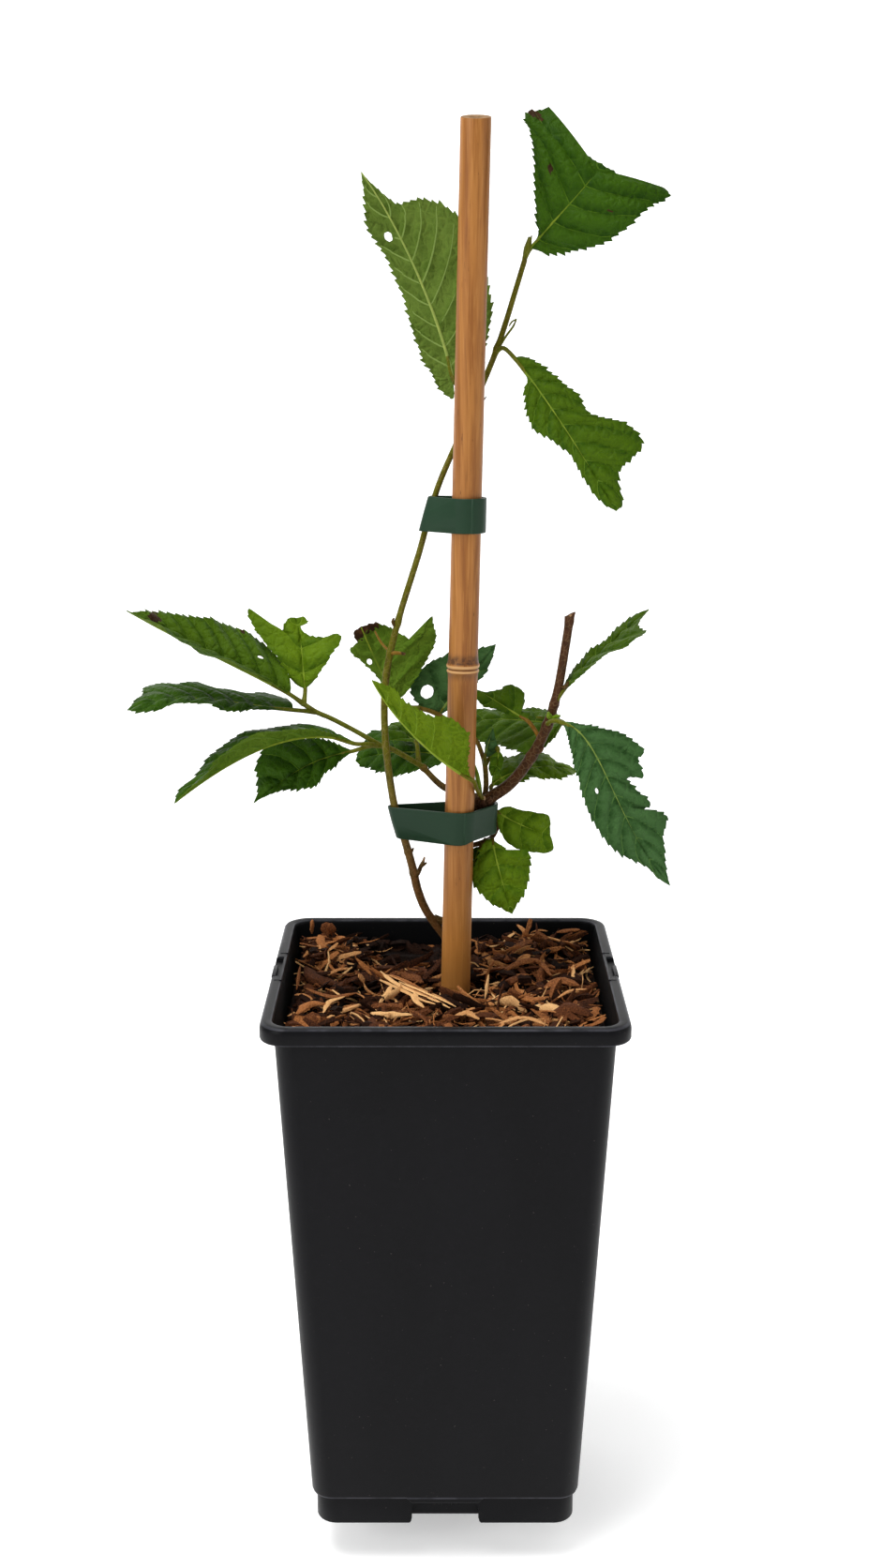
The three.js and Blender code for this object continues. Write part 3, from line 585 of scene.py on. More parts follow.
class Shape:
    """A mesh under way, in millimetres, out of grids that are wrapped into closed skins."""

    def __init__(self) -> None:
        """Starts with nothing."""
        self.mesh = bmesh.new()
        self.shade = self.mesh.verts.layers.float.new("shade")

    def skin(
        self,
        places: Array,
        paint_of: Callable[[int, int], int] = lambda row, column: 0,
        shade: Array | float = 0.0,
    ) -> None:
        """Adds a grid, moves its points to their places, welds what meets and turns its faces outward.

        Args:
            places: rows by columns by 3. A last column like the first closes the skin round.
            paint_of: the material's number for a face, from its row and column.
            shade: a number that its points carry, or one for each.
        """
        rows, columns = places.shape[0] - 1, places.shape[1] - 1
        near, beside, across, beyond = places[:-1, :-1], places[:-1, 1:], places[1:, 1:], places[1:, :-1]
        inward = np.sum(near * (np.cross(beside, across) + np.cross(across, beyond))) < 0
        shades = np.broadcast_to(shade, places.shape[:2])
        if inward:
            places, shades = places[::-1], shades[::-1]
        made = bmesh.ops.create_grid(self.mesh, x_segments=columns, y_segments=rows, size=1.0)["verts"]
        faces = {face for vert in made for face in vert.link_faces}
        for face in faces:
            middle = face.calc_center_median()
            row = int((middle.y + 1) / 2 * rows)
            column = int((middle.x + 1) / 2 * columns)
            face.material_index = paint_of(rows - 1 - row if inward else row, column)
            face.smooth = True
        for vert in made:
            row = round((vert.co.y + 1) / 2 * rows)
            column = round((vert.co.x + 1) / 2 * columns)
            vert.co = places[row, column]
            vert[self.shade] = shades[row, column]
        bmesh.ops.remove_doubles(self.mesh, verts=made, dist=1e-4)

    def tube(
        self,
        path: Array,
        radii: Array,
        sides: int,
        material: int = 0,
        flat: float = 1.0,
        shade: float = 0.0,
    ) -> None:
        """Adds a round or flattened limb along a path, closed at both ends.

        Args:
            path: its middle line.
            radii: its radius at each point, or at each point and side.
            sides: how many sides it has.
            material: its material's number.
            flat: its thickness as a share of its width.
            shade: a number that all its points carry.
        """
        along = unit(np.gradient(path, axis=0))
        back = np.empty_like(path)
        start = np.eye(3)[np.argmin(np.abs(along[0]))]
        for k, direction in enumerate(along):
            start = start - direction * start.dot(direction)
            start = start / np.linalg.norm(start)
            back[k] = start
        across = np.cross(along, back)
        angles = round_angles(sides)
        reach = radii if radii.ndim == 2 else np.repeat(radii[:, None], sides + 1, axis=1)
        rings = (
            path[:, None]
            + back[:, None] * (np.cos(angles) * reach * flat)[..., None]
            + across[:, None] * (np.sin(angles) * reach)[..., None]
        )
        ends = [np.repeat(path[k][None, None], sides + 1, axis=1) for k in (0, -1)]
        self.skin(np.concatenate([ends[0], rings, ends[1]]), lambda row, column: material, shade)

    def piece(self, name: str, finishes: Sequence[Material], slot: str, *nodes: str) -> Object:
        """Makes the object, in metres.

        Args:
            name: the piece's name.
            finishes: its materials, in the order of their numbers.
            slot: the material slot of the part, which is not used.
            nodes: the nodes that it stands for.

        Returns:
            The object, riding on the part's one body.
        """
        bmesh.ops.scale(self.mesh, vec=(METRES,) * 3, verts=self.mesh.verts)
        made = object_of(self.mesh, name)
        for finish in finishes:
            made.data.materials.append(finish)
        made.data.set_sharp_from_angle(angle=math.radians(42))
        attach(made, BODY)
        if nodes:
            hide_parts(*nodes)
        log.info("%s: %d faces", name, len(made.data.polygons))
        return made


def cut_away(piece: Object, cutters: Sequence[Object]) -> None:
    """Cuts each cutter out of a piece and removes the cutters.

    Args:
        piece: what is cut.
        cutters: closed shapes in their places.
    """
    for cutter in cutters:
        change = piece.modifiers.new("cut", "BOOLEAN")
        change.operation = "DIFFERENCE"
        change.solver = "EXACT"
        change.object = cutter
    graph = bpy.context.evaluated_depsgraph_get()
    graph.update()
    cut = bpy.data.meshes.new_from_object(piece.evaluated_get(graph))
    piece.modifiers.clear()
    piece.data = cut
    for cutter in cutters:
        bpy.data.objects.remove(cutter)


def cutter_from(mesh: BMesh, matrix: Matrix) -> Object:
    """A hidden cutter out of a mesh in millimetres, put in its place.

    Args:
        mesh: its shape.
        matrix: where it goes.

    Returns:
        The cutter.
    """
    bmesh.ops.transform(mesh, matrix=Matrix.Scale(METRES, 4) @ matrix, verts=mesh.verts)
    bmesh.ops.recalc_face_normals(mesh, faces=mesh.faces)
    return object_of(mesh, "cutter")


def soften(mesh: BMesh, edges: list[bmesh.types.BMEdge], offset: float, segments: int) -> None:
    """Rounds off the edges, by an offset in mm.

    Args:
        mesh: the mesh.
        edges: its edges to round.
        offset: how far the round reaches.
        segments: how many steps it has.
    """
    bmesh.ops.bevel(
        mesh, geom=edges, offset=offset, offset_type="OFFSET", affect="EDGES", segments=segments,
        profile=0.5, material=-1,
    )


def centripetal(rows: Sequence[Sequence[float]], spans: int) -> tuple[Array, Array]:
    """The smooth line through rows of x, y, z and, where they have one, a radius.

    Args:
        rows: the line's points.
        spans: how many steps it takes between two of them.

    Returns:
        Its points, and the radius at each.
    """
    table = np.array([list(row) + [0.0] * (4 - len(row)) for row in rows], float)
    points = table[:, :3]
    points = np.vstack([2 * points[0] - points[1], points, 2 * points[-1] - points[-2]])
    out = []
    radii = []
    for k in range(len(rows) - 1):
        p0, p1, p2, p3 = points[k:k + 4]
        d0, d1, d2 = [max(np.linalg.norm(b - a) ** 0.5, 1e-4) for a, b in ((p0, p1), (p1, p2), (p2, p3))]
        t1 = ((p1 - p0) / d0 - (p2 - p0) / (d0 + d1) + (p2 - p1) / d1) * d1
        t2 = ((p2 - p1) / d1 - (p3 - p1) / (d1 + d2) + (p3 - p2) / d2) * d1
        last = k == len(rows) - 2
        for share in np.linspace(0, 1, spans + 1)[: None if last else -1]:
            square, cube = share**2, share**3
            out.append(
                p1 * (2 * cube - 3 * square + 1) + t1 * (cube - 2 * square + share)
                + p2 * (3 * square - 2 * cube) + t2 * (cube - square)
            )
            radii.append(table[k, 3] * (1 - share) + table[k + 1, 3] * share)
    return np.array(out), np.array(radii)


# Leaves


class Side(Enum):
    """The two halves of a leaf, seen from above with its tip away."""

    LEFT = -1
    RIGHT = 1


@dataclass(frozen=True)
class Mark:
    """A round place on a leaf: its share along the rib, its distance from it in mm, and its half sizes."""

    side: Side
    share: float
    distance: float
    long: float
    wide: float


@dataclass(frozen=True)
class Leaf:
    """One leaf: its midrib's four points, the way it faces, and the outline of its two halves.

    An outline is pairs of the share of the rib's length and the distance from the rib.
    """

    rib: tuple[Point, Point, Point, Point]
    facing: Point
    left: tuple[Pair, ...]
    right: tuple[Pair, ...]
    stalk: tuple[Point, ...]
    fold: Pair = (0.0, 0.0)
    tone: Tone = Tone.DEEP
    veins: float = 0.75
    teeth: float = 1.0
    wave: float = 1.0
    orange: bool = False
    holes: tuple[Mark, ...] = ()
    scorched: tuple[Mark, ...] = ()

    @property
    def length(self) -> float:
        """The straight distance from the rib's foot to its tip."""
        return float(np.linalg.norm(np.subtract(self.rib[3], self.rib[0])))

    def rib_at(self, share: Array) -> Array:
        """The points of the midrib at those shares of its length.

        Args:
            share: 0 at the foot to 1 at the tip.

        Returns:
            The points.
        """
        u = np.clip(share, 0, 1)[..., None]
        first, second, third = 3 * u - 1, 3 * u - 2, u - 1
        weights = (
            -first * second * third / 2,
            9 * u * second * third / 2,
            -9 * u * first * third / 2,
            u * first * second / 2,
        )
        return sum(weight * np.array(point) for weight, point in zip(weights, self.rib))

    def place(self, side: Side, share: Array, distance: Array, lift: Array) -> Array:
        """The points of one half of the blade.

        Args:
            side: which half.
            share: the share of the rib's length.
            distance: the distance from the rib, in mm.
            lift: how far the points stand above the blade's middle.

        Returns:
            The points.
        """
        inside = np.clip(share, 0, 1)
        along = unit(self.rib_at(inside + 0.01) - self.rib_at(inside - 0.01))
        across = unit(np.cross(along, np.array(self.facing, float)))
        up = np.cross(across, along)
        fold = math.radians(self.fold[0 if side is Side.LEFT else 1])
        out = across * side.value * math.cos(fold) + up * math.sin(fold)
        normal = up * math.cos(fold) - across * side.value * math.sin(fold)
        reach = ((share - inside) * self.length)[..., None]
        return self.rib_at(inside) + along * reach + out * distance[..., None] + normal * lift[..., None]


def outline_of(pairs: Sequence[Pair], count: int) -> Array:
    """The smooth line through a leaf half's pairs, from its foot to its tip, in even steps of its index.

    Args:
        pairs: the half's pairs.
        count: how many steps.

    Returns:
        Rows of share and distance.
    """
    points = np.array([(0.0, 0.0), *pairs, (1.0, 0.0)])
    index = np.linspace(0, len(points) - 1, count)
    low = np.minimum(index.astype(int), len(points) - 2)
    part = (index - low)[:, None]
    a, b = points[np.maximum(low - 1, 0)], points[low]
    c, d = points[low + 1], points[np.minimum(low + 2, len(points) - 1)]
    return b + 0.5 * part * (c - a + part * (2 * a - 5 * b + 4 * c - d + part * (3 * (b - c) + d - a)))


class BladeHalf:
    """One half of a leaf's blade, and the veins in it."""

    COLUMNS = 11
    STEP = 0.62
    THICKNESS = 0.42
    TOOTH_PITCH = 3.1
    TOOTH_DEPTH = 1.55
    UNEVEN = 0.55
    VEIN_PITCH = 8.2
    VEIN_SLANT = 0.008
    VEIN_BEND = 0.06
    VEIN_START = 0.35
    VEIN_RADIUS = 0.5
    VEIN_LIFT = 0.14
    QUILT = 1.8
    WAVE = 1.2
    CUP = 0.0035
    EDGE_THINNING = 0.6

    def __init__(self, leaf: Leaf, side: Side) -> None:
        """Works out the half's rows: where each starts on the rib, and where it ends on the edge.

        Args:
            leaf: the leaf.
            side: which half.
        """
        self.leaf = leaf
        self.side = side
        pairs = leaf.left if side is Side.LEFT else leaf.right
        line = outline_of(pairs, 600)
        line[:, 1] = np.maximum(line[:, 1], 0)
        flat = line * (leaf.length, 1)
        run = np.concatenate([[0], np.cumsum(np.linalg.norm(np.diff(flat, axis=0), axis=1))])
        self.rows = max(int(run[-1] / self.STEP), 24)
        at = np.linspace(0, run[-1], self.rows + 1)
        share, width = [np.interp(at, run, line[:, k]) for k in (0, 1)]
        foot = np.clip(share - self.VEIN_SLANT * width, 0, 1)
        self.foot = np.minimum.accumulate(foot[::-1])[::-1].copy()
        self.foot[-1] = 1
        self.share, self.width = self._toothed(share, width, at)
        self.count = max(int(leaf.length / self.VEIN_PITCH), 3)
        self.phase = CHANCE.uniform(0, 1)
        self.index = np.arange(self.rows + 1)

    def _toothed(self, share: Array, width: Array, at: Array) -> tuple[Array, Array]:
        """The edge with its teeth, which lean to the tip.

        Args:
            share, width: the plain edge.
            at: how far along it each row is, in mm.

        Returns:
            The edge's share and width at each row.
        """
        flow = unit(np.stack([np.gradient(share) * self.leaf.length, np.gradient(width)], axis=1))
        turn = at / self.TOOTH_PITCH + CHANCE.uniform(0, 1)
        rise = turn % 1.0
        size = np.array([CHANCE.uniform(0.55, 1.15) for _ in range(int(turn[-1]) + 2)])[turn.astype(int)]
        fade = smooth_step(at, 3, 9) * smooth_step(at[-1] - at, 0.5, 4) * np.clip(width / 5, 0, 1)
        depth = self.TOOTH_DEPTH * self.leaf.teeth * size * fade * rise**1.3
        start = CHANCE.uniform(0, 50)
        drift = [
            noise.noise(Vector((start + run / 6.5, 0, 0))) + 0.5 * noise.noise(Vector((start, run / 2.6, 0)))
            for run in at
        ]
        depth = depth + self.UNEVEN * fade * np.array(drift)
        out = np.stack([-flow[:, 1], flow[:, 0]], axis=1) + 0.5 * flow
        return share + out[:, 0] * depth / self.leaf.length, np.maximum(width + out[:, 1] * depth, 0)

    def _at(self, row: Array | float) -> list[Array]:
        """The half's foot on the rib, its edge's share and its width at a row or between two."""
        return [np.interp(row, self.index, line) for line in (self.foot, self.share, self.width)]

    def _bulge(self, row: Array, part: Array) -> tuple[Array, Array]:
        """How high a place bulges between two side veins, and how far on it is from the last one, 0 to 1.

        Args:
            row, part: the place.

        Returns:
            Both numbers.
        """
        bent = np.clip(row - self.VEIN_BEND * self.rows * part**2, 0, self.rows)
        beat = np.interp(bent, self.index, self.foot) * self.count + self.VEIN_START
        return np.abs(np.sin(math.pi * beat)) ** 0.85 * np.minimum(part * 5, 1), beat % 1

    def surface(self, row: Array, part: Array, lift: Array) -> Array:
        """The points of the half's skin.

        Args:
            row: the row, counted from the foot; it may lie between two.
            part: how far out along the row, from 0 at the rib to 1 at the edge.
            lift: how far above the middle of the blade.

        Returns:
            The points.
        """
        foot, share, width = self._at(row)
        narrow = np.clip(width / 8, 0, 1)
        swell = self._bulge(row, part)[0] * (1 - 0.8 * part**2)
        slow, fast = [np.sin(2 * math.pi * (beats * foot + self.phase)) for beats in (1.7, 4.3)]
        wave = slow + 0.4 * fast
        out = width * part
        relief = self.QUILT * swell * narrow + self.WAVE * self.leaf.wave * wave * narrow * part**2
        return self.leaf.place(
            self.side, foot + (share - foot) * part, out, lift + relief - self.CUP * out**2 * narrow,
        )

    def scorched(self, row: float, part: float) -> bool:
        """Whether a place on the half is brown and dry."""
        foot, share, width = self._at(row)
        return any(self._hit(mark, foot + (share - foot) * part, width * part) for mark in self.leaf.scorched)

    def _hit(self, mark: Mark, share: float, distance: float) -> bool:
        """Whether a place lies on a mark.

        Args:
            mark: the mark.
            share, distance: the place.

        Returns:
            True on it.
        """
        if mark.side is not self.side:
            return False
        along = share * self.leaf.length
        away = (along - mark.share * self.leaf.length) / mark.long
        ragged = 1 + 0.7 * noise.noise(Vector((along, distance, 0)) * 0.8)
        return away**2 + ((distance - mark.distance) / mark.wide) ** 2 < ragged

    def grow(self, shape: Shape, first_material: int, scorch_material: int) -> None:
        """Adds the half's skin: out along the upper side and back along the underside.

        Args:
            shape: the piece that it joins.
            first_material: the number of the upper side's material; the underside's is the next.
            scorch_material: the number of the brown places' material.
        """
        out = np.linspace(0, 1, self.COLUMNS + 1)
        part = np.concatenate([out, out[::-1], [0]])
        thinning = 1 - self.EDGE_THINNING * part**3
        half = self.THICKNESS / 2 * thinning
        lift = np.where(np.arange(len(part)) <= self.COLUMNS, half, -half)
        lift[-1] = lift[0]
        row = np.repeat(self.index[:, None].astype(float), len(part), axis=1)
        places = self.surface(row, np.broadcast_to(part, row.shape), np.broadcast_to(lift, row.shape))

        def material(at: int, column: int) -> int:
            """The number of a face's material."""
            if self.leaf.scorched and self.scorched(at + 0.5, part[min(column, len(part) - 1)]):
                return scorch_material
            return first_material + (0 if column < self.COLUMNS else 1)

        # The shade number is painted light and shade: dark in the groove past each side vein, lighter over
        # the bulge to the next, dimmer at the edge.
        swell, beat = self._bulge(row, np.broadcast_to(part, row.shape))
        bright = (0.35 * swell + 0.65 * beat) ** 1.6 * thinning
        shape.skin(places, material, np.clip(1.35 * bright, 0, 1))

    def veins(self, shape: Shape, material: int) -> None:
        """Adds the side veins, which run forward from the rib and thin out before the edge.

        Args:
            shape: the piece that they join.
            material: their material's number.
        """
        for beat in range(1, self.count + 1):
            strength = 0.82 + 0.4 * noise.noise(Vector((beat * 1.7, self.phase * 9, 0)))
            parts = np.linspace(0, min(0.94 * strength + 0.1, 0.96), 10)
            root = (beat - self.VEIN_START) / self.count
            start = float(np.interp(root, self.foot, self.index))
            if root > 0.97 or np.interp(start, self.index, self.width) < 2.5:
                continue
            rows = np.clip(start + self.VEIN_BEND * self.rows * parts**2, 0, self.rows)
            path = self.surface(rows, parts, np.full(len(parts), self.VEIN_LIFT))
            radii = self.VEIN_RADIUS * self.leaf.veins * strength * (1 - 0.5 * parts)
            shares = self._at(rows)
            stop = len(parts)
            for mark in self.leaf.holes:
                for k in range(len(parts)):
                    share = shares[0][k] + (shares[1][k] - shares[0][k]) * parts[k]
                    if self._hit(mark, share, shares[2][k] * parts[k]):
                        stop = min(stop, k)
            if stop > 2:
                shape.tube(path[:stop], radii[:stop], 5, material)


@dataclass(frozen=True)
class Mass:
    """One mass of foliage: the twigs it grows from, and its leaves by name."""

    leaves: dict[str, Leaf]
    twigs: tuple[tuple[Row, ...], ...] = ()
    twig_finish: str = "green_twig"
    petiole_radius: float = 0.92
    rib_foot_radius: float = 0.82
    rib_tip_radius: float = 0.26

    def build(self, name: str) -> None:
        """Makes the mass's blades, veins and stalks, each kind joined into one piece.

        Args:
            name: the node that it replaces.
        """
        blades, veins, stalks = Shape(), Shape(), Shape()
        skins: list[Material] = [PALETTE.leaf(Tone.SCORCHED, Part.UPPER)]
        vein_skins: list[Material] = []
        stalk_skins = [PALETTE.bark(finish) for finish in (self.twig_finish, "green_twig", "orange_stalk")]
        for rows in self.twigs:
            path, radii = centripetal(rows, 6)
            stalks.tube(path, radii, 12)
        for leaf in self.leaves.values():
            skins += [PALETTE.leaf(leaf.tone, Part.UPPER), PALETTE.leaf(leaf.tone, Part.UNDER)]
            vein_skins += [PALETTE.leaf(leaf.tone, Part.VEIN), PALETTE.leaf(leaf.tone, Part.RIB)]
            for side in Side:
                half = BladeHalf(leaf, side)
                half.grow(blades, len(skins) - 2, 0)
                half.veins(veins, len(vein_skins) - 2)
            self._rib(veins, leaf, len(vein_skins) - 1)
            self._stalk(stalks, leaf)
        made = blades.piece(f"{name}_blades", skins, "leaf", name)
        cutters = [self._hole(leaf, hole) for leaf in self.leaves.values() for hole in leaf.holes]
        if cutters:
            cut_away(made, cutters)
        veins.piece(f"{name}_veins", vein_skins, "leaf")
        stalks.piece(f"{name}_stalks", stalk_skins, "green_stem")

    def _rib(self, shape: Shape, leaf: Leaf, material: int) -> None:
        """Adds a leaf's midrib.

        Args:
            shape: the piece that it joins.
            leaf: the leaf.
            material: its material's number.
        """
        share = np.linspace(0, 0.995, 40)
        still = np.zeros_like(share)
        path = leaf.place(Side.RIGHT, share, still, still - 0.1)
        radii = self.rib_foot_radius + (self.rib_tip_radius - self.rib_foot_radius) * share**0.7
        shape.tube(path, radii, 8, material)

    def _stalk(self, shape: Shape, leaf: Leaf) -> None:
        """Adds a leaf's stalk, from its twig to the foot of its blade.

        Args:
            shape: the piece that it joins.
            leaf: the leaf.
        """
        start = leaf.place(Side.RIGHT, np.array([0.0, 0.12]), np.zeros(2), np.zeros(2) - 0.1)
        rows = [*leaf.stalk, tuple(start[0]), tuple(start[1])]
        path, _ = centripetal(rows, 8)
        radii = np.full(len(path), self.petiole_radius)
        radii[-9:] = np.linspace(self.petiole_radius, self.rib_foot_radius - 0.1, 9)
        radii[:6] += np.linspace(0.35, 0, 6)
        shape.tube(path, radii, 10, 2 if leaf.orange else 1)

    def _hole(self, leaf: Leaf, hole: Mark) -> Object:
        """A cutter for a hole that was eaten into a leaf.

        Args:
            leaf: the leaf.
            hole: its place and size.

        Returns:
            The cutter.
        """
        share, distance = np.array([hole.share, hole.share + 0.02]), np.full(2, hole.distance)
        middle, ahead = leaf.place(hole.side, share, distance, np.zeros(2))
        top = leaf.place(hole.side, share, distance, np.ones(2))[0]
        normal = Vector(top - middle).normalized()
        along = Vector(ahead - middle).normalized()
        turn = Matrix((along, normal.cross(along), normal)).transposed().to_4x4()
        mesh = bmesh.new()
        bmesh.ops.create_cone(mesh, cap_ends=True, segments=18, radius1=1, radius2=1, depth=14)
        for vert in mesh.verts:
            ragged = 1 + 0.16 * noise.noise(vert.co * 1.7)
            vert.co = (vert.co.x * hole.long * ragged, vert.co.y * hole.wide * ragged, vert.co.z)
        return cutter_from(mesh, Matrix.Translation(middle) @ turn)


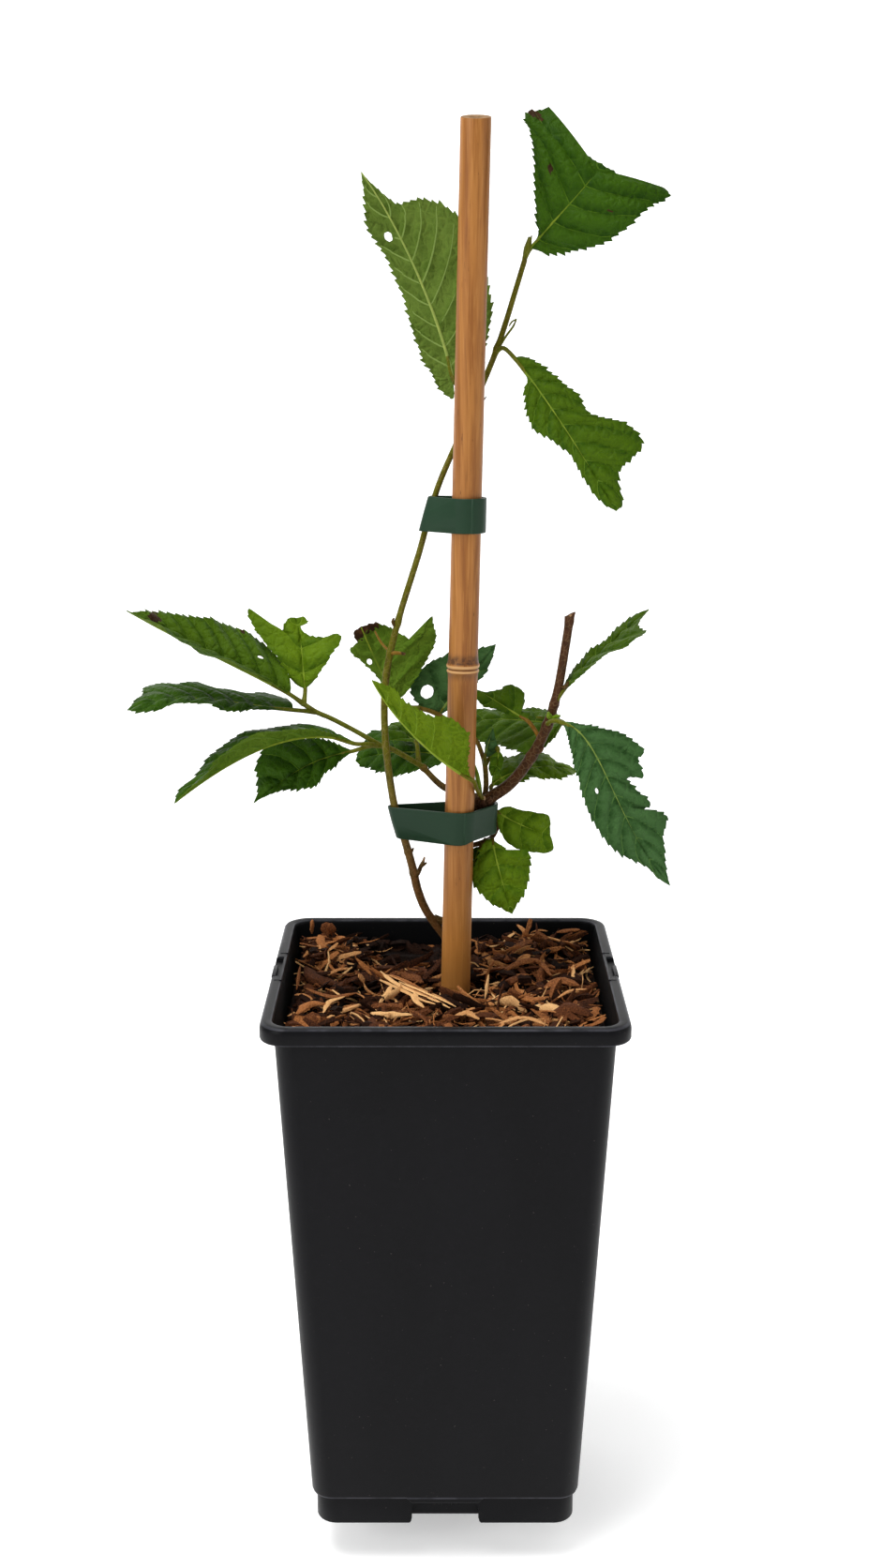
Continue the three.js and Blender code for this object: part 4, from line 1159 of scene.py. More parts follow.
MASSES: dict[str, Mass] = {
    "left_spray": Mass(twigs=(
        ((-9.6, 17.3, 321, 1.2), (-23.7, 11, 330.6, 1.15), (-27, 9, 332, 1.2), (-37.8, 5, 339.2, 1.05),
         (-48.3, 2, 345.5, 1.05), (-54.5, 0, 348.7, 1.1), (-59.8, -2, 352.7, 1.1)),
    ), leaves={
        "left_top": Leaf(
            rib=((-65, -4, 357), (-86, -8, 369), (-108, -12, 381), (-130, -16, 394)),
            facing=(0, -0.65, 0.76), fold=(54, 0), tone=Tone.MIDDLE,
            left=((0.15, 8), (0.4, 14), (0.7, 10)),
            right=((0.1, 11), (0.24, 18), (0.38, 20), (0.54, 17), (0.68, 12), (0.86, 7), (0.96, 1)),
            stalk=((-59.4, -2, 352.4),),
            holes=(Mark(Side.RIGHT, 0.235, 9.5, 1.3, 0.7),),
            scorched=(Mark(Side.RIGHT, 0.85, 3, 3.2, 2.2), Mark(Side.RIGHT, 0.86, 6.6, 1.5, 2.4),
                      Mark(Side.RIGHT, 0.37, 19.5, 1.4, 1.4)),
        ),
        "left_middle": Leaf(
            rib=((-64, -2, 350), (-87, -8, 354), (-108, -14, 357), (-131, -18, 353)),
            facing=(0, -0.2, 1),
            left=((0.2, 3), (0.44, 8), (0.62, 6), (0.8, 6), (0.93, 5)),
            right=((0.02, 8), (0.08, 16), (0.18, 19), (0.38, 19.5), (0.63, 18), (0.84, 24), (0.9, 24.5),
                   (0.91, 16), (0.93, 9), (0.97, 3)),
            stalk=((-54.5, 0, 348.7),),
        ),
        "left_upright": Leaf(
            rib=((-59, 2, 358), (-60, 4, 368), (-61, 7, 378), (-63, 10, 387)),
            facing=(0.1, -1, 0.2), fold=(10, 10), tone=Tone.FRESH, teeth=0.4,
            left=((0.1, 4), (0.32, 8), (0.56, 13), (0.9, 17), (1.2, 18.5), (1.3, 17.5), (1.16, 15),
                  (0.86, 12.5), (0.6, 9.5), (0.76, 7), (0.9, 6), (1.02, 3)),
            right=((0.1, 4), (0.3, 9), (0.46, 13), (0.59, 16.5), (0.68, 16), (0.66, 11), (0.66, 7),
                   (0.74, 3), (0.84, 1), (0.93, 3.2), (0.88, 4.4), (0.97, 3.4)),
            stalk=((-59.4, -1.8, 352.4),),
        ),
        "left_arched": Leaf(
            rib=((-38, 0, 335), (-62, -8, 339), (-87, -16, 331), (-112, -24, 315)),
            facing=(-0.2, -0.35, 0.9), fold=(55, 0),
            left=((0.16, 4), (0.34, 11), (0.5, 14), (0.66, 14), (0.8, 9), (0.9, 3)),
            right=((0.14, 6), (0.22, 12), (0.42, 15), (0.6, 16), (0.76, 13), (0.94, 5)),
            stalk=((-28, 8.6, 332.4), (-33, 4, 334)),
        ),
        "left_low": Leaf(
            rib=((-39, 4, 331), (-52, 6, 327), (-65, 9, 320), (-83, 12, 306)),
            facing=(-0.3, -0.8, 0.55), fold=(10, 10),
            left=((0.18, 5), (0.3, 7), (0.46, 10), (0.64, 9), (0.88, 2)),
            right=((0.14, 4), (0.42, 11), (0.7, 16), (0.8, 16), (0.9, 8), (0.94, 3)),
            stalk=((-28, 8.6, 332.4), (-33, 6, 332.4)),
        ),
        "left_small": Leaf(
            rib=((-12.5, 21, 331), (-16, 27, 332), (-20, 33, 334), (-24, 38, 336)),
            facing=(0, -0.3, 1), fold=(15, 15), tone=Tone.MIDDLE,
            left=((0.3, 7), (0.6, 8)),
            right=((0.3, 7), (0.6, 8)),
            stalk=((-11.4, 17.3, 322),),
        ),
    }),
    "back_leaf": Mass(leaves={
        "back": Leaf(
            rib=((0, 26, 324), (-14, 32, 324), (-27, 38, 322), (-40, 42, 318)),
            facing=(0, -0.6, 0.8),
            left=((0.02, 7), (0.36, 12), (0.68, 10), (0.92, 4)),
            right=((0.26, 6), (0.54, 13), (0.8, 14), (0.92, 8)),
            stalk=((2, 19.4, 310.6), (5, 23, 315), (3.4, 26, 321)),
        ),
    }),
    "middle_spray": Mass(twig_finish="brown_twig", twigs=(
        ((16.6, 11.5, 306.5, 1.3), (17.6, 11.6, 313, 1.2), (17, 12, 323.5, 1.1), (15.7, 13, 328, 1),
         (12.9, 15.5, 333.6, 1), (4, 20, 339, 1), (-4, 20, 344, 1), (-12, 18, 347, 0.95)),
    ), leaves={
        "middle_curled": Leaf(
            rib=((-20, 17, 351), (-26, 18, 360), (-31, 19, 370), (-36, 19, 382)),
            facing=(-0.2, 1, 0.1), teeth=0.6,
            left=((0, 4), (0.12, 13), (0.24, 19), (0.44, 26), (0.8, 29), (0.66, 24), (0.6, 19), (0.76, 14),
                  (0.94, 8)),
            right=((0.27, 2), (0.46, 3), (0.67, 6), (0.8, 8), (0.85, 4), (0.96, 4)),
            stalk=((-11, 18.2, 346.6), (-16, 17.6, 347.6)),
            holes=(Mark(Side.RIGHT, 0.6, 2.6, 1.3, 1.1),),
            scorched=(Mark(Side.LEFT, 1.0, 3, 3.2, 6.5), Mark(Side.RIGHT, 0.97, 3, 3.5, 3.5)),
        ),
        "middle_holed": Leaf(
            rib=((-3, 22, 342), (4, 24, 352), (13, 26, 362), (22, 28, 373)),
            facing=(0.1, -1, 0.1), tone=Tone.BLUISH, teeth=0.7,
            left=((0, 5), (0.08, 15), (0.24, 18), (0.5, 15), (0.66, 11), (0.84, 5)),
            right=((0.22, 3), (0.56, 4), (0.72, 4), (0.88, 2)),
            stalk=((4.5, 19.8, 338.8), (-1, 21, 338.6)),
            holes=(Mark(Side.LEFT, 0.17, 10, 3.0, 2.7),),
        ),
        "shoot_pointed": Leaf(
            rib=((17, 8, 327), (18, 7.6, 332), (19.2, 7.6, 336), (20.4, 8, 340.4)),
            facing=(0, -1, 0.1), tone=Tone.BLUISH, teeth=0,
            left=((0.3, 1), (0.6, 1)),
            right=((0.25, 5.5), (0.6, 3)),
            stalk=((17, 12, 324), (17, 10, 325)),
        ),
        "shoot_curled": Leaf(
            rib=((22.6, 6, 331), (22.4, 5, 327), (21.2, 4, 323), (19.6, 4, 320)),
            facing=(0, -1, 0.1), fold=(20, 20), tone=Tone.MIDDLE, teeth=0,
            left=((0.3, 2.6), (0.7, 2.4)),
            right=((0.3, 3.4), (0.7, 3)),
            stalk=((17, 12, 323), (20, 9.5, 328), (22.2, 7.5, 331.6)),
        ),
    }),
    "front_leaf": Mass(leaves={
        "front": Leaf(
            rib=((12, -10, 321), (-4, -14, 333), (-19, -18, 349), (-30, -20, 366)),
            facing=(0.4, 0.85, 0.35), fold=(0, 110), tone=Tone.FRESH,
            left=((0.1, 4), (0.2, 11), (0.29, 18), (0.37, 22), (0.48, 21), (0.58, 15.5), (0.68, 11.5),
                  (0.82, 7.5), (0.92, 4.5)),
            right=((0.3, 5), (0.6, 5), (0.85, 2)),
            stalk=((16.4, 8, 308.6), (14.6, 0, 313), (13, -6, 317.4)),
        ),
    }),
    "inner_leaf": Mass(leaves={
        "inner": Leaf(
            rib=((35, 10, 343), (26, 12, 348), (18, 13, 353), (12, 14, 356)),
            facing=(0, -0.8, 0.6), tone=Tone.MIDDLE, teeth=0.4, orange=True,
            left=((0.22, 2), (0.44, 3), (0.64, 5), (0.84, 3)),
            right=((0.02, 4), (0.14, 3), (0.18, 8), (0.28, 11), (0.48, 9), (0.58, 5), (0.74, 1)),
            stalk=((40.5, 7, 335.4), (38, 9, 339.4)),
        ),
    }),
    "right_back_leaf": Mass(leaves={
        "right_back": Leaf(
            rib=((51, 18, 340), (37, 27, 339), (22, 36, 338), (5, 44, 334)),
            facing=(0, -0.5, 0.85), tone=Tone.MIDDLE,
            left=((0.04, 10), (0.16, 19), (0.46, 18), (0.62, 15), (0.86, 9)),
            right=((0.16, 7), (0.4, 8), (0.7, 8), (0.88, 5)),
            stalk=((44, 6, 342.6), (48.6, 11, 342.6)),
        ),
    }),
    "right_low_back_leaf": Mass(leaves={
        "right_low_back": Leaf(
            rib=((20, 15, 313), (32, 22, 318), (45, 30, 318), (59, 38, 314)),
            facing=(0, -0.5, 0.87), tone=Tone.FRESH,
            left=((0.14, 6), (0.32, 11), (0.5, 10), (0.7, 8), (0.9, 4)),
            right=((0.16, 5), (0.4, 7), (0.66, 7), (0.86, 5)),
            stalk=((20.5, 10.6, 310), (20, 13, 311.5)),
        ),
    }),
    "right_top_leaf": Mass(leaves={
        "right_top": Leaf(
            rib=((49, 4, 356), (60, 9, 367), (73, 15, 377), (87, 22, 389)),
            facing=(-0.3, -0.3, 0.9), fold=(20, 20), tone=Tone.MIDDLE,
            left=((0.08, 1.5), (0.26, 3.5), (0.46, 4), (0.62, 3), (0.75, 4.5), (0.86, 4), (0.94, 2)),
            right=((0.14, 4), (0.3, 8), (0.43, 11), (0.56, 13), (0.68, 14), (0.77, 15), (0.8, 9), (0.84, 5),
                   (0.92, 2.5)),
            stalk=((46, 5, 350.4),),
        ),
    }),
    "right_front_leaf": Mass(leaves={
        "right_front": Leaf(
            rib=((48, -8, 346), (62, -14, 334), (75, -18, 308), (95, -16, 277)),
            facing=(0.1, -0.95, 0.3), tone=Tone.BLUISH, teeth=0.8,
            left=((0.14, 3), (0.24, 8), (0.3, 13), (0.38, 17), (0.44, 19), (0.46, 15), (0.54, 14),
                  (0.52, 7), (0.66, 12), (0.68, 8), (0.76, 16), (0.82, 10), (0.94, 3)),
            right=((0.18, 6), (0.38, 10), (0.6, 13), (0.76, 10), (0.88, 3), (0.94, 2)),
            stalk=((43.5, 5, 342.5), (44, -1, 344.6), (46, -5.4, 346)),
            holes=(Mark(Side.RIGHT, 0.51, 6.5, 1.3, 0.7),),
        ),
    }),
    "low_spray": Mass(twig_finish="brown_twig", twigs=(
        ((9, 14, 286, 1.2), (15, 14.6, 287.4, 1.15), (20.5, 15.5, 290, 1.05), (23.4, 15.4, 296, 1)),
    ), leaves={
        "low_cut": Leaf(
            rib=((22.4, 15, 301.6), (28, 15.5, 298), (36, 16, 294), (46, 17, 290)),
            facing=(0.1, -0.95, 0.3), tone=Tone.FRESH, teeth=0.15, wave=0.6,
            left=((0.14, 4), (0.64, 7), (0.9, 8)),
            right=((0.36, 8), (0.7, 10), (1.1, 6)),
            stalk=((23, 15.4, 295.4),),
        ),
        "low_hanging": Leaf(
            rib=((20.4, 9, 290.6), (22, 6, 283), (25, 3.4, 272), (29, 2, 259)),
            facing=(0.1, -1, 0.15), tone=Tone.FRESH, teeth=0.7,
            left=((0.34, 8), (0.32, 14), (0.58, 13), (0.74, 10), (0.9, 4)),
            right=((0.02, 3), (0.3, 8), (0.48, 12), (0.7, 10), (0.92, 3)),
            stalk=((17.5, 15, 288.6), (19.6, 12, 289.6)),
        ),
        "low_dark": Leaf(
            rib=((15.6, 14, 286), (14, 15, 283), (13, 16, 279), (12, 16.4, 274)),
            facing=(0.1, -1, 0.15), teeth=0,
            left=((0.3, 3), (0.6, 2.5)),
            right=((0.3, 3), (0.6, 2.5)),
            stalk=((16, 14.7, 287.8),),
        ),
    }),
    "tip_leaf": Mass(twigs=(
        ((31.8, 9, 532.2, 1), (32.8, 9.2, 537, 1.3), (33.8, 9.2, 541.6, 0.5)),
    ), leaves={
        "tip": Leaf(
            rib=((34.3, 9, 537), (43, 0, 547), (53, -6, 558), (61.5, -4, 568.5)),
            facing=(0.1, -0.95, 0.3), wave=0.7,
            left=((0.17, 1.5), (0.28, 7), (0.4, 14), (0.52, 20), (0.71, 28), (0.9, 33.2), (1.06, 35.6),
                  (1.11, 35.4), (1.18, 31.8), (1.225, 28.4), (1.13, 26), (1.09, 21), (1.0, 14), (0.97, 6)),
            right=((0.13, 7), (0.28, 13), (0.44, 18), (0.64, 22), (0.82, 23), (0.92, 24), (0.99, 25),
                   (1.12, 28), (1.19, 28), (1.17, 25), (1.08, 19), (1.01, 12), (0.98, 6)),
            stalk=((32.4, 9, 534.6),),
            scorched=(Mark(Side.LEFT, 0.62, 13, 1.3, 1.0), Mark(Side.LEFT, 0.86, 5, 1.4, 1.0),
                      Mark(Side.RIGHT, 0.72, 12, 0.8, 0.8), Mark(Side.LEFT, 1.08, 31, 2.2, 2.0)),
        ),
    }),
    "top_right_leaf": Mass(leaves={
        "top_right": Leaf(
            rib=((28, 0, 494), (40, -7, 478), (53, -12, 459), (69, -14, 434)),
            facing=(0.1, -0.95, 0.3), tone=Tone.MIDDLE,
            left=((0.02, 3), (0.12, 6), (0.32, 10), (0.4, 12), (0.56, 13), (0.64, 18), (0.7, 23),
                  (0.82, 24), (0.86, 10), (0.98, 4)),
            right=((0.16, 1), (0.22, 5), (0.36, 9), (0.46, 10), (0.56, 7), (0.68, 4), (0.86, 4), (0.94, 3)),
            stalk=((20.5, 6, 496.6), (23.4, 3.2, 498)),
        ),
    }),
    "top_left_leaf": Mass(leaves={
        "top_left": Leaf(
            rib=((3, 9, 486), (-5, 13, 512), (-18, 15, 541), (-34, 13, 567)),
            facing=(0.2, 0.95, 0.1), tone=Tone.PALE_BACKED, veins=1,
            left=((0.04, 9), (0.14, 18), (0.24, 23), (0.4, 26), (0.52, 27), (0.66, 24), (0.76, 15),
                  (0.8, 5), (0.92, 1)),
            right=((-0.09, 1.5), (-0.03, 6), (0.07, 8), (0.18, 10), (0.3, 10), (0.5, 9), (0.61, 8.5),
                   (0.7, 9), (0.77, 9.5), (0.84, 7), (0.92, 3.5)),
            stalk=((12.4, 5.4, 477.6), (7, 7.2, 480.4)),
            holes=(Mark(Side.RIGHT, 0.7, 4.4, 2.0, 1.6),),
        ),
    }),
}

# Stems


@dataclass(frozen=True)
class Stem:
    """A limb with the relief of its bark: rows of x, y, z and radius, and its knots by height."""

    rows: tuple[Row, ...]
    finish: str
    slot: str
    piece: str
    knots: tuple[Point, ...] = ()
    relief: float = 0.1
    sides: int = 28
    level_foot: bool = False

    def build(self, node: str) -> None:
        """Makes the limb in place of its node. Knots are its height, its swell and its reach.

        Args:
            node: the node that it replaces.
        """
        path, radii = centripetal(self.rows, 14)
        angles = round_angles(self.sides)
        for level, swell, reach in self.knots:
            radii = radii + swell * np.exp(-(((path[:, 2] - level) / reach) ** 2))
        table = np.repeat(radii[:, None], self.sides + 1, axis=1)
        for k, middle in enumerate(path):
            for i, angle in enumerate(angles):
                spot = Vector((3 * math.cos(angle), 3 * math.sin(angle), middle[2] * 0.35))
                ridges = noise.noise(spot) + 0.5 * noise.noise(spot * 2.7)
                table[k, i] += self.relief * ridges * radii[k] / 2
        shape = Shape()
        shape.tube(path, table, self.sides)
        if self.level_foot:
            foot = self.rows[0][2]
            for vert in shape.mesh.verts:
                vert.co.z = max(vert.co.z, foot)
        shape.piece(self.piece, [PALETTE.bark(self.finish)], self.slot, node)


STEMS: dict[str, Stem] = {
    "trunk": Stem(
        piece="trunk_bark", finish="trunk_bark", slot="bark", relief=0.3, level_foot=True,
        rows=((5, 21, 214, 7.6), (5, 20.6, 219, 5.6), (5, 20, 226, 4.7), (5.5, 18, 250, 4.4),
              (6.5, 16, 275, 4), (8.5, 14, 290, 3.7), (12.5, 12, 300, 3.7), (16, 10.2, 306, 4.2),
              (17.4, 9.6, 308.8, 3.4)),
        knots=((253, 0.5, 3), (303, 0.4, 2), (308, 0.5, 1.2)),
    ),
    "leader": Stem(
        piece="leader_shoot", finish="shoot_skin", slot="green_stem", relief=0.07,
        rows=((4, 20, 236.5, 2), (0.5, 19.6, 242.4, 1.9), (-8.2, 15, 256.5, 1.85), (-11.8, 12, 266.5, 1.85),
              (-14.2, 9.5, 278, 1.8), (-17, 7, 289.4, 1.7), (-21.7, 5, 306.3, 1.6), (-25.6, 3, 340, 1.5),
              (-24.8, 2, 364, 1.5), (-20, 2, 385.8, 1.35), (-10.9, 1, 415.4, 1.3), (-3.1, 1.4, 442.3, 1.25),
              (8.7, 5, 468.9, 1.2), (20.9, 6, 497.7, 1.2), (29.4, 8, 524.2, 1.1), (32, 9, 532.7, 1.1)),
        knots=((364.6, 0.32, 0.7), (373.6, 0.3, 1.2), (386.4, 0.4, 1.3), (498, 0.45, 1.6), (275.4, 0.3, 1.2),
               (285.5, 0.25, 0.9), (478.4, 0.3, 1.2), (331.5, 0.2, 1.5)),
    ),
    "pruned_branch": Stem(
        piece="cut_branch", finish="cut_branch_bark", slot="bark", relief=0.08,
        rows=((16, 9.8, 306.5, 2.7), (20, 9.5, 309.5, 2.7), (28.2, 9, 315.7, 2.5), (36.5, 8, 327, 2.3),
              (42.7, 6, 339.8, 2.2), (47.2, 5, 355.4, 1.9), (50.4, 4, 375.6, 1.85), (52.1, 3, 388.6, 1.8)),
        knots=((327.5, 0.35, 1.2), (341.5, 0.4, 1.4), (351, 0.3, 1.0), (386.5, 0.25, 1.5)),
    ),
    "left_branch": Stem(
        piece="left_bough", finish="brown_twig", slot="bark", relief=0.1,
        rows=((15, 11.4, 308.4, 1.7), (9, 16, 309, 1.7), (3, 18.6, 310, 1.6), (-1.8, 18.8, 312.4, 1.4),
              (-10.2, 17.2, 321.4, 1.2)),
        knots=((320.6, 0.5, 1.0),),
    ),
}

# Small growths on the stems: a finish, and the rows of x, y, z and radius of its line.
GROWTHS: tuple[tuple[str, tuple[Row, ...]], ...] = (
    ("dry_bud", ((1.5, 18, 250, 2.2), (-2.2, 17, 251.6, 1.7), (-4.6, 16.4, 253.6, 1.0))),
    ("dry_bud", ((-13.4, 9.8, 273.6, 1.1), (-11.9, 9, 275.2, 1.0), (-10.6, 8.4, 278.6, 0.95),
                 (-9.4, 8, 281.2, 0.7))),
    ("dry_bud", ((-10.6, 8.4, 278.4, 0.7), (-9.2, 8, 279.6, 0.6), (-8.0, 7.8, 280.6, 0.35))),
    ("pale_wood", ((-9.5, 8, 281, 0.62), (-9.1, 7.9, 282.4, 0.5), (-8.9, 7.8, 283.2, 0.25))),
    ("dry_bud", ((-15.8, 8.2, 284.4, 0.9), (-14.4, 7.8, 285.8, 0.7), (-13.7, 7.6, 287.2, 0.35))),
    ("orange_stalk", ((-23.2, 1.4, 373.4, 0.95), (-20.6, 0.6, 373.7, 0.8), (-18.0, 0.2, 373.5, 0.62))),
    ("dry_bud", ((-18.4, 0.3, 373.6, 0.66), (-17.4, 0.1, 373.4, 0.66), (-16.7, 0, 373.3, 0.55))),
    ("orange_stalk", ((-22.8, 2.4, 374, 0.7), (-25, 3.4, 375.4, 0.6), (-27.6, 5, 378.4, 0.5),
                      (-29.6, 6.4, 382, 0.35))),
    ("dry_bud", ((-21.2, 1.2, 385.2, 0.8), (-21.9, 1, 386.8, 0.75), (-21.4, 1, 388.4, 0.3))),
    ("green_twig", ((21.6, 5.4, 498, 0.55), (24.6, 4.6, 502.8, 0.5), (27.4, 4.2, 506.6, 0.45),
                    (28.7, 4, 509.5, 0.3))),
    ("green_twig", ((28.7, 4, 509.4, 0.3), (26.8, 4, 508.3, 0.38), (25.7, 4, 506.6, 0.3))),
    ("dry_bud", ((13.4, 4.8, 477.4, 0.6), (15.2, 4.2, 477.2, 0.45), (16.8, 4, 478.9, 0.15))),
    ("green_twig", ((32.2, 8.6, 533.6, 1.1), (33.4, 8.2, 537.6, 1.2), (34.3, 8, 541, 0.5),
                    (34.7, 8, 542.2, 0.15))),
    ("fresh_bud", ((45.4, 2.8, 345, 0.9), (43.9, 1.4, 346.6, 1.3), (43.4, 0.8, 348.4, 0.5))),
    ("fresh_bud", ((45.2, 1.8, 345.6, 0.8), (46.8, 0.2, 346.6, 0.9), (48.2, -1.2, 347.2, 0.5))),
    ("green_twig", ((41.2, 5.2, 345.2, 0.5), (40.0, 3.6, 345.6, 0.6), (38.6, 2.6, 345.9, 0.3))),
    ("dry_bud", ((49.6, 3.4, 358.2, 1.0), (51.2, 2.8, 359.6, 0.8), (51.8, 2.6, 361.2, 0.3))),
    ("cut_branch_bark", ((38.2, 6.2, 330, 1.3), (40.4, 5.4, 330.6, 1.1), (41.8, 5, 332.4, 0.4))),
    ("fresh_bud", ((15.2, 9.6, 310, 0.9), (14.4, 8.4, 315, 1.15), (13.6, 7.8, 320, 0.9),
                   (12.4, 7.4, 325, 0.25))),
    ("trunk_bark", ((15.4, 8, 305, 2.0), (15.8, 5.6, 307.6, 1.7), (16.2, 4.8, 309.6, 0.8))),
    ("trunk_bark", ((17.6, 8, 307, 1.9), (19.2, 6.2, 309, 1.4), (19.8, 5.6, 310.6, 0.6))),
    ("trunk_bark", ((13.4, 9, 304, 1.8), (12.8, 6.8, 305.4, 1.5), (12.6, 6, 306.8, 0.7))),
    ("pale_wood", ((16.4, 5.6, 309.2, 0.9), (16.6, 4.6, 310.4, 0.7), (16.7, 4.3, 311, 0.3))),
)


@dataclass(frozen=True)
class CutEnd:
    """The slanted pruning cut on the branch: rows of x, y, z and radius for its sides and its face."""

    high: tuple[Row, ...] = (
        (51.6, 3.1, 385.6, 1.9), (52.0, 3.0, 388.2, 1.75), (53.2, 2.8, 389.4, 1.1), (54.2, 2.6, 390.6, 0.25),
    )
    low: tuple[Row, ...] = ((51.2, 3.1, 386.4, 1.3), (50.6, 3.1, 387.4, 0.9), (50.1, 3.2, 388.8, 0.3))
    face: tuple[Row, ...] = ((50.8, 2.4, 388.1, 0.5), (52.2, 2.3, 388.9, 0.8), (53.6, 2.4, 390.0, 0.35))

    def build(self) -> None:
        """Makes the wedge of bark and the pale wood in it."""
        shape = Shape()
        for rows, sides, material in ((self.high, 12, 0), (self.low, 10, 0), (self.face, 8, 1)):
            line = np.array(rows)
            shape.tube(line[:, :3], line[:, 3], sides, material)
        shape.piece("branch_cut", [PALETTE.bark("cut_branch_bark"), PALETTE.bark("pale_wood")], "bark")


def build_growths() -> None:
    """Makes the buds, stubs and stipules that sit on the stems, as one piece."""
    shape = Shape()
    names = sorted({name for name, _ in GROWTHS})
    for name, rows in GROWTHS:
        path, radii = centripetal(rows, 5)
        shape.tube(path, radii, 10, names.index(name))
    shape.piece("buds_and_stubs", [PALETTE.bark(name) for name in names], "green_stem")


# Cane and ties


@dataclass
class BambooCane:
    """The cane: a straight tapering tube with one node and a slanted saw cut."""

    foot: Point = (0.4, 11.4, 18)
    top: Point = (11.7, -12, 585.5)
    foot_radius: float = 6.5
    top_radius: float = 6.0
    node_level: float = 369
    top_slant: float = 0.22
    bore: float = 2.7
    bore_depth: float = 6.0
    sides: int = 72
    ring_pitch: float = 14.0
    ring: tuple[Pair, ...] = (
        (-9, 0), (-5.6, 0.08), (-4.2, 0.12), (-3, 0.3), (-2.4, 0.62), (-1.8, 0.58), (-1.4, 0.2), (-1, 0.2),
        (-0.6, 0.6), (0, 0.8), (0.5, 0.75), (1.1, 0.45), (1.7, 0.3), (3, 0.14), (6, 0),
    )

    def at(self, level: float) -> Point:
        """The middle and the radius of the cane at a height, without its node.

        Args:
            level: the height.

        Returns:
            x, y and the radius.
        """
        share = (level - self.foot[2]) / (self.top[2] - self.foot[2])
        x, y = [self.foot[k] + (self.top[k] - self.foot[k]) * share for k in (0, 1)]
        return x, y, self.foot_radius + (self.top_radius - self.foot_radius) * share

    def build(self) -> None:
        """Makes the cane in place of its node."""
        levels = [(self.foot[2] + k * self.ring_pitch, 0.0) for k in range(24)]
        levels += [(self.node_level + offset, swell) for offset, swell in self.ring]
        levels += [(self.node_level + 21 + k * self.ring_pitch, 0.0) for k in range(14)]
        head = self.top[2]
        rings = [(level, self.at(level)[2] + swell) for level, swell in levels if level < head - 4]
        outer = self.at(head)[2]
        rings += [
            (head - 0.5, outer), (head - 0.1, outer - 0.15), (head, outer - 0.5),
            (head - 0.1, self.bore + 0.5), (head - 0.5, self.bore),
            (head - self.bore_depth, self.bore - 0.4), (head - self.bore_depth, 0.0),
        ]
        rings = [(self.foot[2], 0.0), *rings]
        angles = round_angles(self.sides)
        rows = []
        for level, radius in rings:
            x, y, _ = self.at(min(level, head))
            slant = self.top_slant * radius * np.sin(angles) if level > head - 2 else np.zeros_like(angles)
            wobble = 1 + 0.012 * np.sin(2 * angles + level / 90) + 0.006 * np.sin(5 * angles)
            rows.append(np.stack([
                x + radius * wobble * np.cos(angles), y + radius * wobble * np.sin(angles), level + slant,
            ], axis=1))
        shape = Shape()
        cut_row = len(rings) - 6
        shape.skin(np.array(rows), lambda row, column: 1 if row >= cut_row else 0)
        skin = PALETTE.take(CaneFinish(self.node_level))
        shape.piece("bamboo_cane", [skin, PALETTE.bark("pale_wood")], "cane", "cane")


